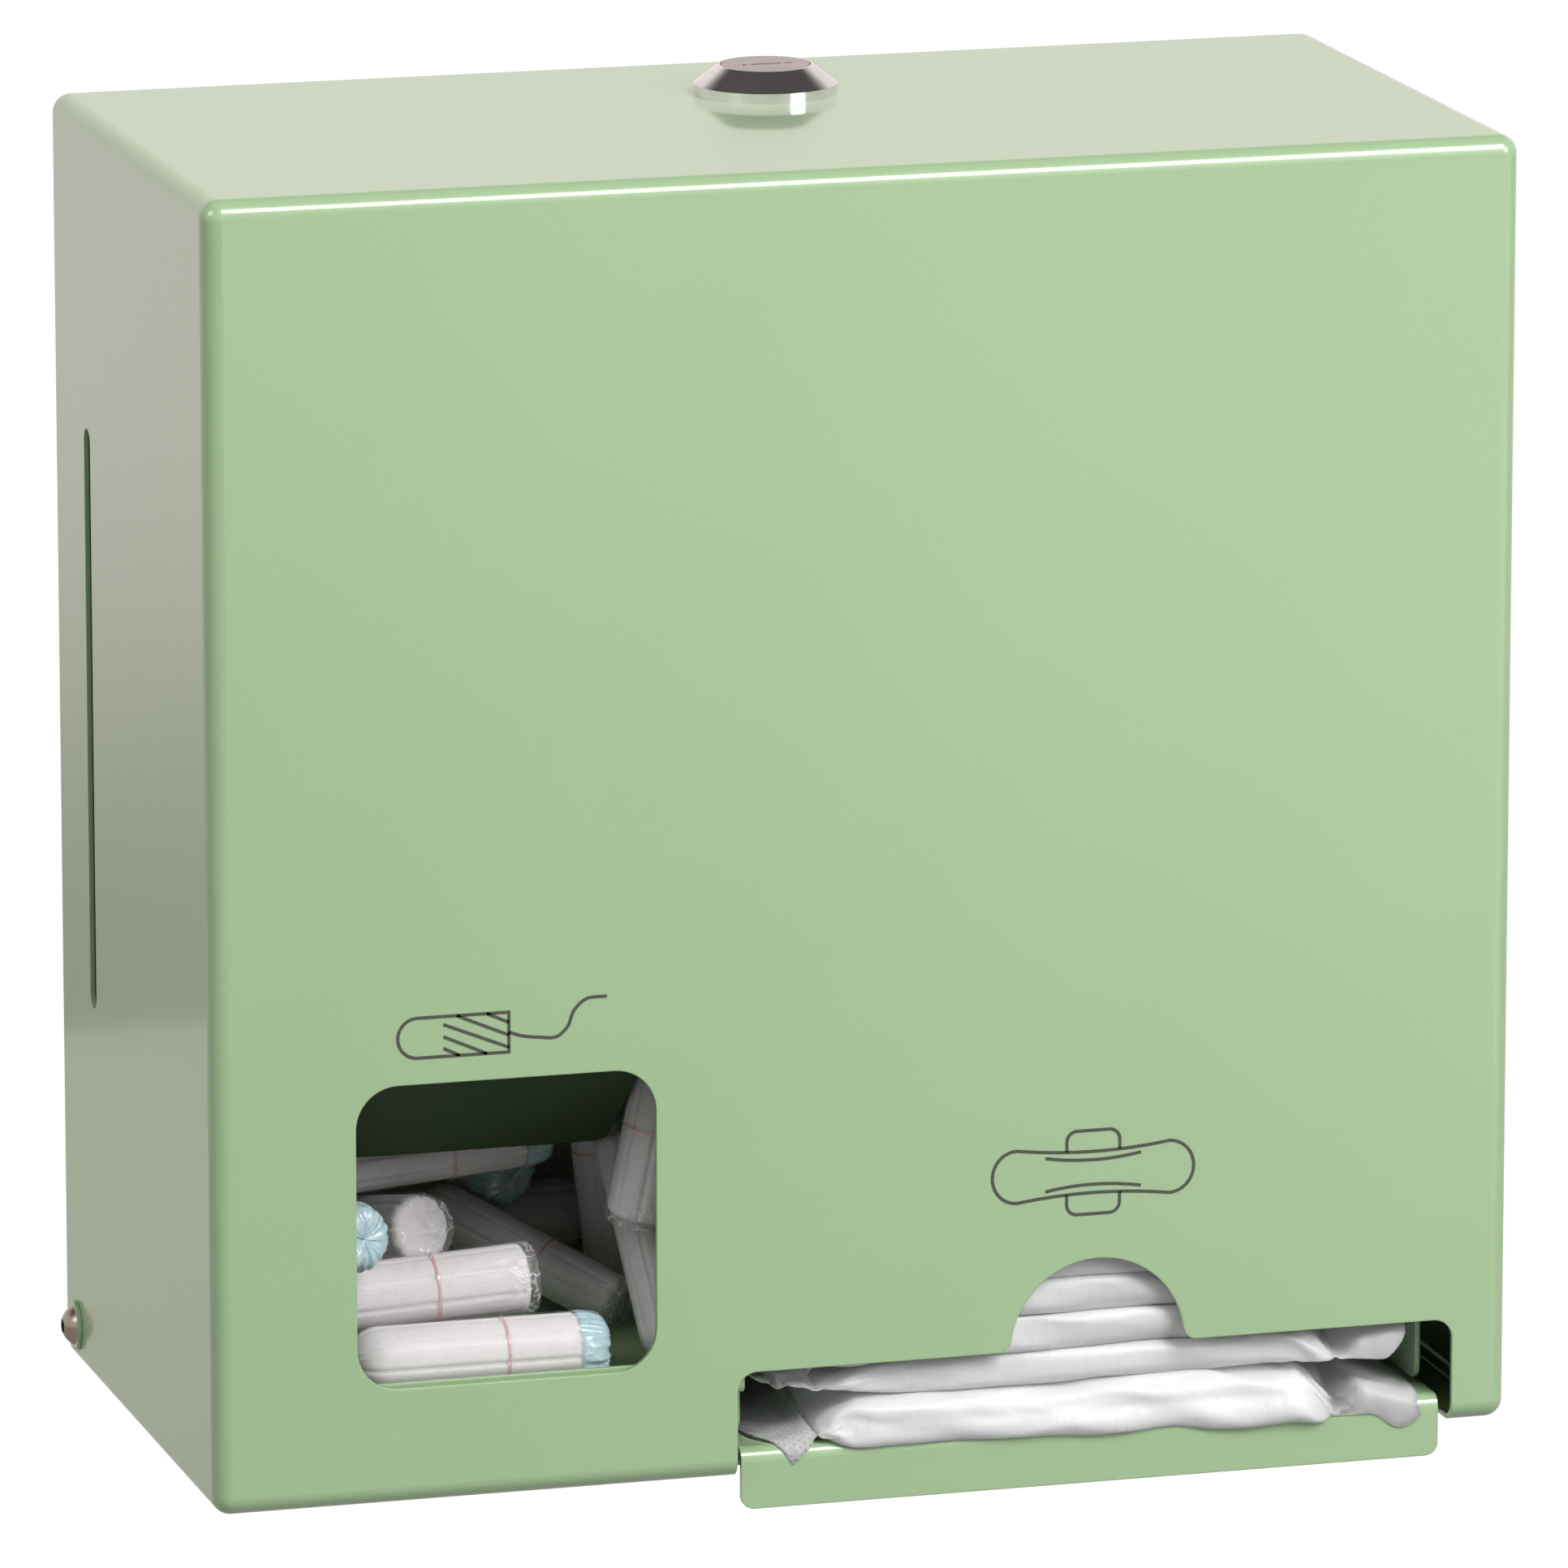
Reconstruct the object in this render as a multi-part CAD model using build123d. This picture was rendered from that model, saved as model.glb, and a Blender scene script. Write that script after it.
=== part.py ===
"""Wall dispenser for wrapped sanitary pads and tampons, in folded sheet steel.

Millimetres, +Z up. The origin is on the wall plane, at the middle of the cover's width and height.
The front faces -Y, and +X is to the right for someone who stands in front of it.
A height is measured up from the cover's lower edge, a depth back from the cover's front face.
"""
import os
from math import radians, tan

from build123d import *

# What it holds: wrapped pads, the lowest one fuller than the rest
PAD_COUNT = 14
PAD_L = 127.0
PAD_D = 104.0
PAD_T = 6.8
FIRST_PAD_T = 9.8
PAD_GAP = 0.3
CRIMP_T = 0.6
# Place along the pad's half length, and how much of its crown and of its depth it has there
PAD_SECTION_SHARES = (
    (1.0, 0.0, 0.96),
    (0.91, 0.05, 0.96),
    (0.83, 0.6, 0.98),
    (0.72, 0.95, 1.0),
    (0.5, 1.0, 1.0),
)
PAD_EDGE_SHARE = 0.4

# And wrapped tampons, in two sizes
TAMPON_D = 13.5
TAMPON_L = 50.0
SLIM_D = 11.0
SLIM_L = 46.0
FOIL_L = 6.0
FOIL_NECK_SHARE = 0.6
FOIL_END_SHARE = 0.8
TIP_SHARE = 0.8

# Room for them: past each end of a pad, in front of it and behind it, and beside a tampon's length
PAD_END_PLAY = 2.7
PAD_SETBACK = 2.5
PAD_REAR_ROOM = 11.3
HOPPER_ROOM = 47.9
RIGHT_ROOM = 13.9

# Cover
COVER_H = 245.0
COVER_SHEET = 1.0
COVER_BEND_R = 3.5
WALL_GAP = 0.4
LIP_PLAY = 6.0
FLANGE_PLAY = 4.0

# Window for the tampons, in the front
WINDOW_W = 57.0
WINDOW_H = 57.5
WINDOW_OFFSET = 2.75
WINDOW_SILL = 22.0
WINDOW_R = 8.0

# Slot for the pads, open at the lower edge, with a thumb notch over it
SLOT_PLAY = 1.6
SLOT_OFFSET = 0.4
SLOT_H = 20.2
SLOT_R = 3.75
THUMB_R = 17.0
THUMB_ROOT_R = 2.5

# Slot in the left side that shows how full the hopper is
LEVEL_FOOT = 74.25
LEVEL_HEADROOM = 59.25
LEVEL_W = 5.0
LEVEL_FROM_WALL = 25.6
LEVEL_RELIEF = 2.5

# Hinge in the lower rear corners
PIVOT_INSET = 8.0
PIVOT_FIT = 0.05
SIDE_PLAY = 0.6
TURN_PLAY = 0.05
HINGE_SCREW_R = 2.0
HINGE_SCREW_L = 11.0
HINGE_HEAD_R = 3.75
HINGE_HEAD_H = 2.2
HINGE_SOCKET_AF = 2.5
HINGE_SOCKET_DEPTH = 1.3
HINGE_WASHER_R = 4.75
HINGE_WASHER_T = 0.8
RIVET_NUT_R = 3.0
RIVET_NUT_L = 9.0
RIVET_NUT_RIM_R = 4.2
RIVET_NUT_RIM_T = 0.5
THREAD_FIT = 0.02

# Back plate
BACK_SHEET = 1.2
BACK_BEND_R = 2.2
BACK_FLANGE = 16.0
BACK_FOOT = 1.0
BACK_TOP_GAP = 4.0
BACK_CORNER_R = 3.0
BOLT_R = 3.0
BOLT_INSET = 35.0
BOLT_SPACING_Z = 150.0
BOLT_RISE = 10.0
BOLT_ACCESS_R = 8.0

# Folded sheet inside
SHEET = 1.0
BEND_R = 1.8
LINER_FIT = 0.3

# Pad magazine: a channel of back and side walls, over a tray with a hanging lip
HEADROOM = 49.0
CHANNEL_SETBACK = 9.9
CHANNEL_TOE_R = 3.0
CHANNEL_FOOT_GAP = 1.0
CHANNEL_BACK_GAP = 3.0
TRAY_OVERHANG = 1.0
TRAY_FLOOR = 5.0
TRAY_DROP = 6.6
TRAY_SETBACK = 1.9
TRAY_FOLD_R = 2.5
TRAY_LIP_R = 2.5
TRAY_NOTCH = 5.2
TRAY_FLANGE_H = 16.0

# Tampon hopper: side wall, front wall that folds back into a baffle, and sloping floor
HOPPER_SETBACK = 2.0
HOPPER_FLANGE = 14.0
HOPPER_SIDE_SETBACK = 3.3
HOPPER_SIDE_SKIRT = 2.0
BAFFLE_NECK = 4.5
BAFFLE_RUN = 26.5
BAFFLE_FALL = 20.5
BAFFLE_RIGHT_GAP = 19.7
BAFFLE_INSET = 2.0
BAFFLE_CORNER_R = 3.0
BIN_LIP_RISE = 0.6
BIN_DROP = 5.5
BIN_SLOPE = 10.0
BIN_FLANGE = 11.0

# Cam lock in the top of the cover
LOCK_X = 4.0
LOCK_FLANGE_R = 13.5
LOCK_RIM_H = 2.0
LOCK_TOP_R = 8.9
LOCK_H = 5.5
LOCK_FACE_R = 8.4
LOCK_FACE_T = 1.5
LOCK_FACE_FIT = 0.15
BARREL_R = 8.0
BARREL_FLAT = 14.4
BARREL_L = 19.0
BARREL_FIT = 0.1
PLUG_R = 5.5
PLUG_FIT = 0.05
KEY_SLOT_L = 6.0
KEY_SLOT_W = 1.2
KEY_SLOT_DEPTH = 4.0
DIMPLE_R = 0.9
DIMPLE_DEPTH = 0.4
DIMPLE_OFFSET = 4.4
LOCK_NUT_AF = 19.0
LOCK_NUT_T = 4.0
LOCK_WASHER_R = 11.0
LOCK_WASHER_T = 1.0
TAIL_AF = 7.0
CAM_GAP = 0.1
CAM_FIT = 0.05
CAM_T = 2.0
CAM_W = 12.0
CAM_REACH = 32.0
CAM_ROOM = 4.0
CAM_SCREW_R = 2.0
CAM_SCREW_L = 8.0
CAM_HEAD_R = 4.5
CAM_HEAD_H = 2.0
CAM_SLOT_W = 1.0
CAM_SLOT_DEPTH = 0.8

# Strike: the fixed hook that the cam turns behind
STRIKE_SHEET = 1.5
STRIKE_BEND_R = 2.5
STRIKE_W = 14.0
STRIKE_BASE_H = 16.0
STRIKE_TAB_H = 15.0
STRIKE_HEADROOM = 13.0
STRIKE_LEAD = 1.5

# Rivets
RIVET_R = 1.6
RIVET_HEAD_R = 3.0
RIVET_HEAD_H = 0.8
RIVET_SINK_R = 2.6
RIVET_SINK_DEPTH = 0.8
RIVET_EDGE = 6.0

# Margin by which a cutter passes a face, and by which two places count as one
OVERRUN = 2.0
CLOSE = 0.001

# Sizes that follow: the hopper and the magazine stand side by side, and the cover closes round both
HOPPER_W = TAMPON_L + HOPPER_ROOM
CHANNEL_INNER_W = PAD_L + 2 * PAD_END_PLAY
CHANNEL_OUTER_W = CHANNEL_INNER_W + 2 * SHEET
TRAY_W = CHANNEL_OUTER_W + 2 * TRAY_OVERHANG
SLOT_W = TRAY_W + 2 * SLOT_PLAY
LEFT_STACK = COVER_SHEET + SIDE_PLAY + BACK_SHEET + SHEET
COVER_W = LEFT_STACK + HOPPER_W + CHANNEL_OUTER_W + RIGHT_ROOM
COVER_D = PAD_SETBACK + PAD_D + PAD_REAR_ROOM + SHEET + BACK_SHEET
WINDOW_TOP = WINDOW_SILL + WINDOW_H
LINER_TOP = COVER_H - HEADROOM
CHANNEL_FOOT = TRAY_FLOOR + CHANNEL_FOOT_GAP
CHANNEL_BACK_FOOT = TRAY_FLOOR + TRAY_FLANGE_H + CHANNEL_BACK_GAP
BIN_FLOOR = WINDOW_SILL - BIN_DROP
LOCK_FROM_WALL = CAM_REACH + CAM_ROOM
STRIKE_TOP = COVER_H - STRIKE_HEADROOM
STRIKE_WEB = STRIKE_TOP - STRIKE_TAB_H
STRIKE_FOOT = STRIKE_WEB - STRIKE_BASE_H
BOLT_MID = COVER_H / 2 + BOLT_RISE
BOLT_HEIGHTS = (BOLT_MID - BOLT_SPACING_Z / 2, BOLT_MID + BOLT_SPACING_Z / 2)

# Places that follow from the sizes
FRONT_Y = -COVER_D
COVER_FOOT_Z = -COVER_H / 2
COVER_TOP_Z = COVER_H / 2
SIDE_X = COVER_W / 2
SIDE_IN_X = SIDE_X - COVER_SHEET
FLANGE_X = SIDE_IN_X - SIDE_PLAY
HOPPER_SIDE_X = -(FLANGE_X - BACK_SHEET)
HOPPER_LEFT_X = HOPPER_SIDE_X + SHEET
CHANNEL_OUT_X = (HOPPER_LEFT_X + HOPPER_W, HOPPER_LEFT_X + HOPPER_W + CHANNEL_OUTER_W)
CHANNEL_IN_X = (CHANNEL_OUT_X[0] + SHEET, CHANNEL_OUT_X[1] - SHEET)
MAGAZINE_X = (CHANNEL_IN_X[0] + CHANNEL_IN_X[1]) / 2
WINDOW_X = HOPPER_LEFT_X + HOPPER_W / 2 + WINDOW_OFFSET
SLOT_X = MAGAZINE_X + SLOT_OFFSET
BOLT_X = SIDE_X - BOLT_INSET
HOPPER_FRONT_Y = FRONT_Y + HOPPER_SETBACK
BIN_LIP_Y = HOPPER_FRONT_Y + SHEET
CHANNEL_FRONT_Y = FRONT_Y + CHANNEL_SETBACK
BED_Y = -BACK_SHEET
BED_FRONT_Y = BED_Y - SHEET
PIVOT_Y = -(WALL_GAP + PIVOT_INSET)
PIVOT_Z = COVER_FOOT_Z + PIVOT_INSET
LOCK_Y = -LOCK_FROM_WALL
STRIKE_X = LOCK_X + CAM_REACH - CAM_W / 2
BARREL_END_Z = COVER_TOP_Z - BARREL_L
CAM_TOP_Z = BARREL_END_Z - CAM_GAP
CAM_FOOT_Z = CAM_TOP_Z - CAM_T


def level(height):
    """Z of a height above the cover's lower edge."""
    return COVER_FOOT_Z + height


def block(x, y, z):
    """Box between two values on each axis."""
    middle = [(span[0] + span[1]) / 2 for span in (x, y, z)]
    return Pos(*middle) * Box(x[1] - x[0], y[1] - y[0], z[1] - z[0])


def rod_x(radius, start, end, y, z):
    return Pos((start + end) / 2, y, z) * Rot(0, 90, 0) * Cylinder(radius, end - start)


def rod_y(radius, x, start, end, z):
    return Pos(x, (start + end) / 2, z) * Rot(90, 0, 0) * Cylinder(radius, end - start)


def rod_z(radius, x, y, start, end):
    return Pos(x, y, (start + end) / 2) * Cylinder(radius, end - start)


def folded(points, bend_r, sheet, side):
    """Section of a folded sheet: one face follows the points and the sheet lies on the side given."""
    return make_face(FilletPolyline(*points, radius=bend_r).offset_2d(sheet, side=side))


def upright(section, foot, top):
    """Plan section, pulled up from one height to another."""
    return Pos(0, 0, level(foot)) * extrude(section, amount=top - foot, dir=(0, 0, 1))


def across(section, left, right):
    """Side section, drawn as (y, z), pulled from one x to another."""
    return Pos(left, 0, 0) * extrude(Plane.YZ * section, amount=right - left, dir=(1, 0, 0))


def through_front(section):
    """Cutter for the cover's front from a section drawn as (x, z)."""
    cutter = extrude(Plane.XZ * section, amount=COVER_SHEET + 2 * OVERRUN, dir=(0, -1, 0))
    return Pos(0, FRONT_Y + COVER_SHEET + OVERRUN, 0) * cutter


def cap(base, tip, radius):
    """Profile of a spherical cap over a disc, from its rim to its tip on the axis, as (along, out)."""
    rise = abs(tip - base)
    sphere_r = (radius ** 2 + rise ** 2) / (2 * rise)
    return RadiusArc((base, radius), (tip, 0), sphere_r if tip > base else -sphere_r)


def edges_at(solid, axis, **place):
    """Edges along an axis whose middle lies at the x, y or z given."""
    found = solid.edges().filter_by(axis)
    for name, value in place.items():
        found = found.filter_by(lambda edge, n=name, v=value: abs(getattr(edge.center(), n) - v) < CLOSE)
    return found


# Cover

def cover_form(inset, overrun):
    """The cover's box, drawn in by the inset and run on past its open rear."""
    x, z = SIDE_X - inset, COVER_TOP_Z - inset
    form = block((-x, x), (FRONT_Y + inset, overrun - WALL_GAP), (-z, z))
    corners = edges_at(form, Axis.Z, Y=FRONT_Y + inset)
    brow_and_foot = edges_at(form, Axis.X, Y=FRONT_Y + inset)
    return fillet(corners + brow_and_foot + edges_at(form, Axis.Y), COVER_BEND_R - inset)


def slot_section():
    """Pad slot with its thumb notch: a rectangle open at the foot, a circle on its upper edge."""
    top = level(SLOT_H)
    height = SLOT_H + OVERRUN
    mouth = Pos(SLOT_X, top - height / 2) * Rectangle(SLOT_W, height)
    rim = mouth + Pos(SLOT_X, top) * Circle(THUMB_R)
    near = SLOT_W / 2 - CLOSE
    roots = [v for v in rim.vertices() if abs(v.Y - top) < CLOSE and abs(v.X - SLOT_X) < near]
    rim = fillet(roots, THUMB_ROOT_R)
    corners = [v for v in rim.vertices() if abs(v.Y - top) < CLOSE and abs(v.X - SLOT_X) > near]
    return fillet(corners, SLOT_R)


def level_section(relief):
    top = COVER_H - LEVEL_HEADROOM
    grown = SlotOverall(top - LEVEL_FOOT + 2 * relief, LEVEL_W + 2 * relief)
    return Pos(-LEVEL_FROM_WALL, level((LEVEL_FOOT + top) / 2)) * Rot(0, 0, 90) * grown


def barrel_section(fit):
    """Round with two flats, so that the lock can't turn in its hole."""
    round_part = Circle(BARREL_R + fit)
    return round_part & Rectangle(2 * (BARREL_R + fit), BARREL_FLAT + 2 * fit)


def hinge_corner():
    """What the sides lose in their lower rear corners, so that they turn about the hinge without touching."""
    reach = PIVOT_INSET + OVERRUN
    square = Pos(PIVOT_Y + reach / 2, PIVOT_Z - reach / 2) * Rectangle(reach, reach)
    return across(square - Pos(PIVOT_Y, PIVOT_Z) * Circle(PIVOT_INSET), -SIDE_X - OVERRUN, SIDE_X + OVERRUN)


def make_cover():
    """Its bottom is notched for the tray's lip, and it stops short of the back plate's flanges."""
    cover = cover_form(0, 0) - cover_form(COVER_SHEET, OVERRUN)
    lip_room = TRAY_SETBACK + SHEET + LIP_PLAY
    below = (COVER_FOOT_Z - OVERRUN, COVER_FOOT_Z + COVER_BEND_R)
    cover -= block((SLOT_X - SLOT_W / 2, SLOT_X + SLOT_W / 2), (FRONT_Y - OVERRUN, FRONT_Y + lip_room), below)
    cover -= block((-SIDE_IN_X, SIDE_IN_X), (-BACK_FLANGE - FLANGE_PLAY, OVERRUN), below)
    cover -= hinge_corner()
    window = RectangleRounded(WINDOW_W, WINDOW_H, WINDOW_R)
    cover -= through_front(Pos(WINDOW_X, level(WINDOW_SILL) + WINDOW_H / 2) * window)
    cover -= through_front(slot_section())
    cover -= across(level_section(0), -SIDE_X - OVERRUN, -SIDE_IN_X + OVERRUN)
    cover -= rod_x(HINGE_SCREW_R + PIVOT_FIT, -SIDE_X - OVERRUN, SIDE_X + OVERRUN, PIVOT_Y, PIVOT_Z)
    under = COVER_TOP_Z - COVER_SHEET
    return cover - at_lock(barrel_section(BARREL_FIT), under - OVERRUN, COVER_TOP_Z + OVERRUN)


# Hinge: a screw through each side of the cover into a rivet nut in the back plate's flange

def hinge_socket(tip):
    hexagon = RegularPolygon(HINGE_SOCKET_AF / 2, 6, major_radius=False)
    socket = extrude(hexagon, amount=HINGE_SOCKET_DEPTH + OVERRUN)
    return Pos(tip - HINGE_SOCKET_DEPTH, PIVOT_Y, PIVOT_Z) * Rot(0, 90, 0) * socket


WASHER_X = SIDE_X + TURN_PLAY
HINGE_HEAD_X = WASHER_X + HINGE_WASHER_T


def make_hinge_screw():
    """Button-head screw: a low dome on a shank, with a hexagon socket."""
    tip_x = HINGE_HEAD_X + HINGE_HEAD_H
    base = Polyline((HINGE_HEAD_X, HINGE_HEAD_R), (HINGE_HEAD_X, 0), (tip_x, 0))
    outline = make_face([cap(HINGE_HEAD_X, tip_x, HINGE_HEAD_R), base])
    head = Pos(0, PIVOT_Y, PIVOT_Z) * revolve(outline, Axis.X)
    shank = rod_x(HINGE_SCREW_R, HINGE_HEAD_X - HINGE_SCREW_L, HINGE_HEAD_X, PIVOT_Y, PIVOT_Z)
    return head + shank - hinge_socket(tip_x)


def make_hinge_washer():
    ring = rod_x(HINGE_WASHER_R, WASHER_X, HINGE_HEAD_X, PIVOT_Y, PIVOT_Z)
    bore_r = HINGE_SCREW_R + PIVOT_FIT
    return ring - rod_x(bore_r, WASHER_X - OVERRUN, HINGE_HEAD_X + OVERRUN, PIVOT_Y, PIVOT_Z)


def make_rivet_nut():
    end_x = FLANGE_X - RIVET_NUT_L
    rim_x = FLANGE_X + RIVET_NUT_RIM_T
    body = rod_x(RIVET_NUT_R, end_x, FLANGE_X, PIVOT_Y, PIVOT_Z)
    rim = rod_x(RIVET_NUT_RIM_R, FLANGE_X, rim_x, PIVOT_Y, PIVOT_Z)
    bore = rod_x(HINGE_SCREW_R + THREAD_FIT, end_x - OVERRUN, rim_x + OVERRUN, PIVOT_Y, PIVOT_Z)
    return body + rim - bore


def both_sides(solid):
    """A piece of the right-hand side and its mirror image on the left."""
    return Compound(children=[solid, mirror(solid, about=Plane.YZ)])


# Rivets

def rivet(grip, sunk):
    """Rivet from the origin towards -Y: a sunk or a domed head, a shank through the grip, a domed tail.

    Its profile is drawn along +X and turned."""
    end = grip + RIVET_HEAD_H
    tail = cap(grip, end, RIVET_HEAD_R)
    shank = [(grip, RIVET_HEAD_R), (grip, RIVET_R)]
    if sunk:
        rest = Polyline(*shank, (RIVET_SINK_DEPTH, RIVET_R), (0, RIVET_SINK_R), (0, 0), (end, 0))
        outline = [tail, rest]
    else:
        rest = Polyline(*shank, (0, RIVET_R), (0, RIVET_HEAD_R))
        outline = [tail, rest, cap(0, -RIVET_HEAD_H, RIVET_HEAD_R), Line((-RIVET_HEAD_H, 0), (end, 0))]
    return Rot(0, 0, -90) * revolve(make_face(outline), Axis.X)


BED_GRIP = BACK_SHEET + SHEET
TRAY_RIVET_H = TRAY_FLOOR + TRAY_FLANGE_H - RIVET_EDGE
CHANNEL_RIVET_X = (CHANNEL_IN_X[0] + 2 * RIVET_EDGE, CHANNEL_IN_X[1] - 2 * RIVET_EDGE)
CHANNEL_RIVET_H = (CHANNEL_BACK_FOOT + RIVET_EDGE, LINER_TOP - RIVET_EDGE)
BIN_REAR_H = BIN_FLOOR + (BED_FRONT_Y - BIN_LIP_Y) * tan(radians(BIN_SLOPE))
BIN_RIVET_H = BIN_REAR_H + RIVET_EDGE
BIN_RIVET_X = (HOPPER_LEFT_X + 3 * RIVET_EDGE, CHANNEL_OUT_X[0] - 3 * RIVET_EDGE)
STRIKE_RIVET_H = STRIKE_FOOT + RIVET_EDGE
STRIKE_RIVET_X = (STRIKE_X - RIVET_EDGE / 2, STRIKE_X + RIVET_EDGE / 2)
SIDE_RIVET_H = (BIN_FLOOR - HOPPER_SIDE_SKIRT + 2 * RIVET_EDGE, LINER_TOP - RIVET_EDGE)
SIDE_RIVET_Y = -BACK_FLANGE + RIVET_EDGE
FRONT_RIVET_H = (WINDOW_TOP + BAFFLE_NECK + RIVET_EDGE, LINER_TOP - RIVET_EDGE)
FRONT_RIVET_Y = HOPPER_FRONT_Y + HOPPER_FLANGE - RIVET_EDGE


def bed_rivets():
    """Sunk rivets that hold the inner parts on the back plate, flush with the wall."""
    places = [(x, height) for x in CHANNEL_RIVET_X for height in (TRAY_RIVET_H, *CHANNEL_RIVET_H)]
    places += [(x, BIN_RIVET_H) for x in BIN_RIVET_X]
    rivets = [Pos(x, 0, level(h)) * rivet(BED_GRIP, True) for x, h in places]
    strike = rivet(BACK_SHEET + STRIKE_SHEET, True)
    return rivets + [Pos(x, 0, level(STRIKE_RIVET_H)) * strike for x in STRIKE_RIVET_X]


def side_rivets():
    """Sunk rivets that hold the hopper's side wall in the back plate's left flange."""
    turned = Rot(0, 0, 90) * rivet(BED_GRIP, True)
    return [Pos(-FLANGE_X, SIDE_RIVET_Y, level(h)) * turned for h in SIDE_RIVET_H]


def flange_rivets():
    """Domed rivets through the two flanges of the hopper's front."""
    turned = Rot(0, 0, 90) * rivet(2 * SHEET, False)
    sides = (HOPPER_SIDE_X, CHANNEL_OUT_X[0] - SHEET)
    return [Pos(x, FRONT_RIVET_Y, level(h)) * turned for x in sides for h in FRONT_RIVET_H]


# Back plate and the folded sheet parts on it

def make_back_plate():
    section = folded([(-FLANGE_X, -BACK_FLANGE), (-FLANGE_X, 0), (FLANGE_X, 0), (FLANGE_X, -BACK_FLANGE)],
                     BACK_BEND_R, BACK_SHEET, Side.RIGHT)
    plate = upright(section, BACK_FOOT, COVER_H - BACK_TOP_GAP)
    plate = fillet(edges_at(plate, Axis.X, Y=-BACK_FLANGE), BACK_CORNER_R)
    for x in (-BOLT_X, BOLT_X):
        for height in BOLT_HEIGHTS:
            plate -= rod_y(BOLT_R, x, -BACK_SHEET - OVERRUN, OVERRUN, level(height))
    return plate - rod_x(RIVET_NUT_R, -FLANGE_X - OVERRUN, FLANGE_X + OVERRUN, PIVOT_Y, PIVOT_Z)


def make_pad_channel():
    left, right = CHANNEL_OUT_X
    section = folded([(left, CHANNEL_FRONT_Y), (left, BED_Y), (right, BED_Y), (right, CHANNEL_FRONT_Y)],
                     BEND_R, SHEET, Side.RIGHT)
    channel = upright(section, CHANNEL_FOOT, LINER_TOP)
    channel = fillet(edges_at(channel, Axis.X, Y=CHANNEL_FRONT_Y), CHANNEL_TOE_R)
    channel -= block((left + BEND_R, right - BEND_R), (BED_FRONT_Y - OVERRUN, OVERRUN),
                     (level(0), level(CHANNEL_BACK_FOOT)))
    for height in BOLT_HEIGHTS:
        channel -= rod_y(BOLT_ACCESS_R, BOLT_X, BED_FRONT_Y - OVERRUN, OVERRUN, level(height))
    return channel


def make_pad_tray():
    lip_y = FRONT_Y + TRAY_SETBACK
    floor_z = level(TRAY_FLOOR)
    flange_z = floor_z + TRAY_FLANGE_H
    section = folded([(lip_y, level(-TRAY_DROP)), (lip_y, floor_z), (BED_FRONT_Y, floor_z),
                      (BED_FRONT_Y, flange_z)], [TRAY_FOLD_R, BEND_R - SHEET], SHEET, Side.RIGHT)
    left, right = MAGAZINE_X - TRAY_W / 2, MAGAZINE_X + TRAY_W / 2
    tray = across(section, left, right)
    tray = fillet(edges_at(tray, Axis.Y, Z=level(-TRAY_DROP)), TRAY_LIP_R)
    for ends in ((left - OVERRUN, left + TRAY_NOTCH), (right - TRAY_NOTCH, right + OVERRUN)):
        tray -= block(ends, (BED_FRONT_Y - BEND_R, OVERRUN), (floor_z, flange_z + OVERRUN))
    return tray


def make_hopper_side():
    depth = (FRONT_Y + HOPPER_SIDE_SETBACK, -BACK_BEND_R - LINER_FIT)
    foot = BIN_FLOOR - HOPPER_SIDE_SKIRT
    wall = block((HOPPER_SIDE_X, HOPPER_LEFT_X), depth, (level(foot), level(LINER_TOP)))
    return wall - across(level_section(LEVEL_RELIEF), HOPPER_SIDE_X - OVERRUN, HOPPER_LEFT_X + OVERRUN)


def make_hopper_front():
    left, right = HOPPER_LEFT_X, CHANNEL_OUT_X[0]
    rear = HOPPER_FRONT_Y + HOPPER_FLANGE
    section = folded([(left, rear), (left, HOPPER_FRONT_Y), (right, HOPPER_FRONT_Y), (right, rear)],
                     BEND_R, SHEET, Side.LEFT)
    wall_foot = WINDOW_TOP + BAFFLE_NECK
    wall = upright(section, wall_foot, LINER_TOP)
    flap_end = (HOPPER_FRONT_Y + BAFFLE_RUN, level(WINDOW_TOP - BAFFLE_FALL))
    neck = [(HOPPER_FRONT_Y, level(wall_foot)), (HOPPER_FRONT_Y, level(WINDOW_TOP))]
    baffle_right = right - BAFFLE_RIGHT_GAP
    baffle = across(folded(neck + [flap_end], BEND_R, SHEET, Side.LEFT), left + BAFFLE_INSET, baffle_right)
    corner = baffle.edges().filter_by(lambda edge: abs(edge.length - SHEET) < CLOSE)
    corner = corner.filter_by(lambda edge: abs(edge.center().X - baffle_right) < CLOSE).sort_by(Axis.Z)[0]
    return wall + fillet(corner, BAFFLE_CORNER_R)


def make_hopper_floor():
    front = [(BIN_LIP_Y, level(WINDOW_SILL + BIN_LIP_RISE)), (BIN_LIP_Y, level(BIN_FLOOR))]
    rear = [(BED_FRONT_Y, level(BIN_REAR_H)), (BED_FRONT_Y, level(BIN_REAR_H + BIN_FLANGE))]
    section = folded(front + rear, BEND_R - SHEET, SHEET, Side.RIGHT)
    return across(section, HOPPER_LEFT_X + LINER_FIT, CHANNEL_OUT_X[0] - LINER_FIT)


def make_strike():
    tab_y = LOCK_Y - CAM_W / 2 - STRIKE_LEAD
    foot = [(BED_Y, level(STRIKE_FOOT)), (BED_Y, level(STRIKE_WEB))]
    tab = [(tab_y, level(STRIKE_WEB)), (tab_y, level(STRIKE_TOP))]
    bends = [STRIKE_BEND_R, STRIKE_BEND_R - STRIKE_SHEET]
    section = folded(foot + tab, bends, STRIKE_SHEET, Side.LEFT)
    return across(section, STRIKE_X - STRIKE_W / 2, STRIKE_X + STRIKE_W / 2)


# Cam lock: the body with its nut and washer stay on the cover, the plug with its cam turns

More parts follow.
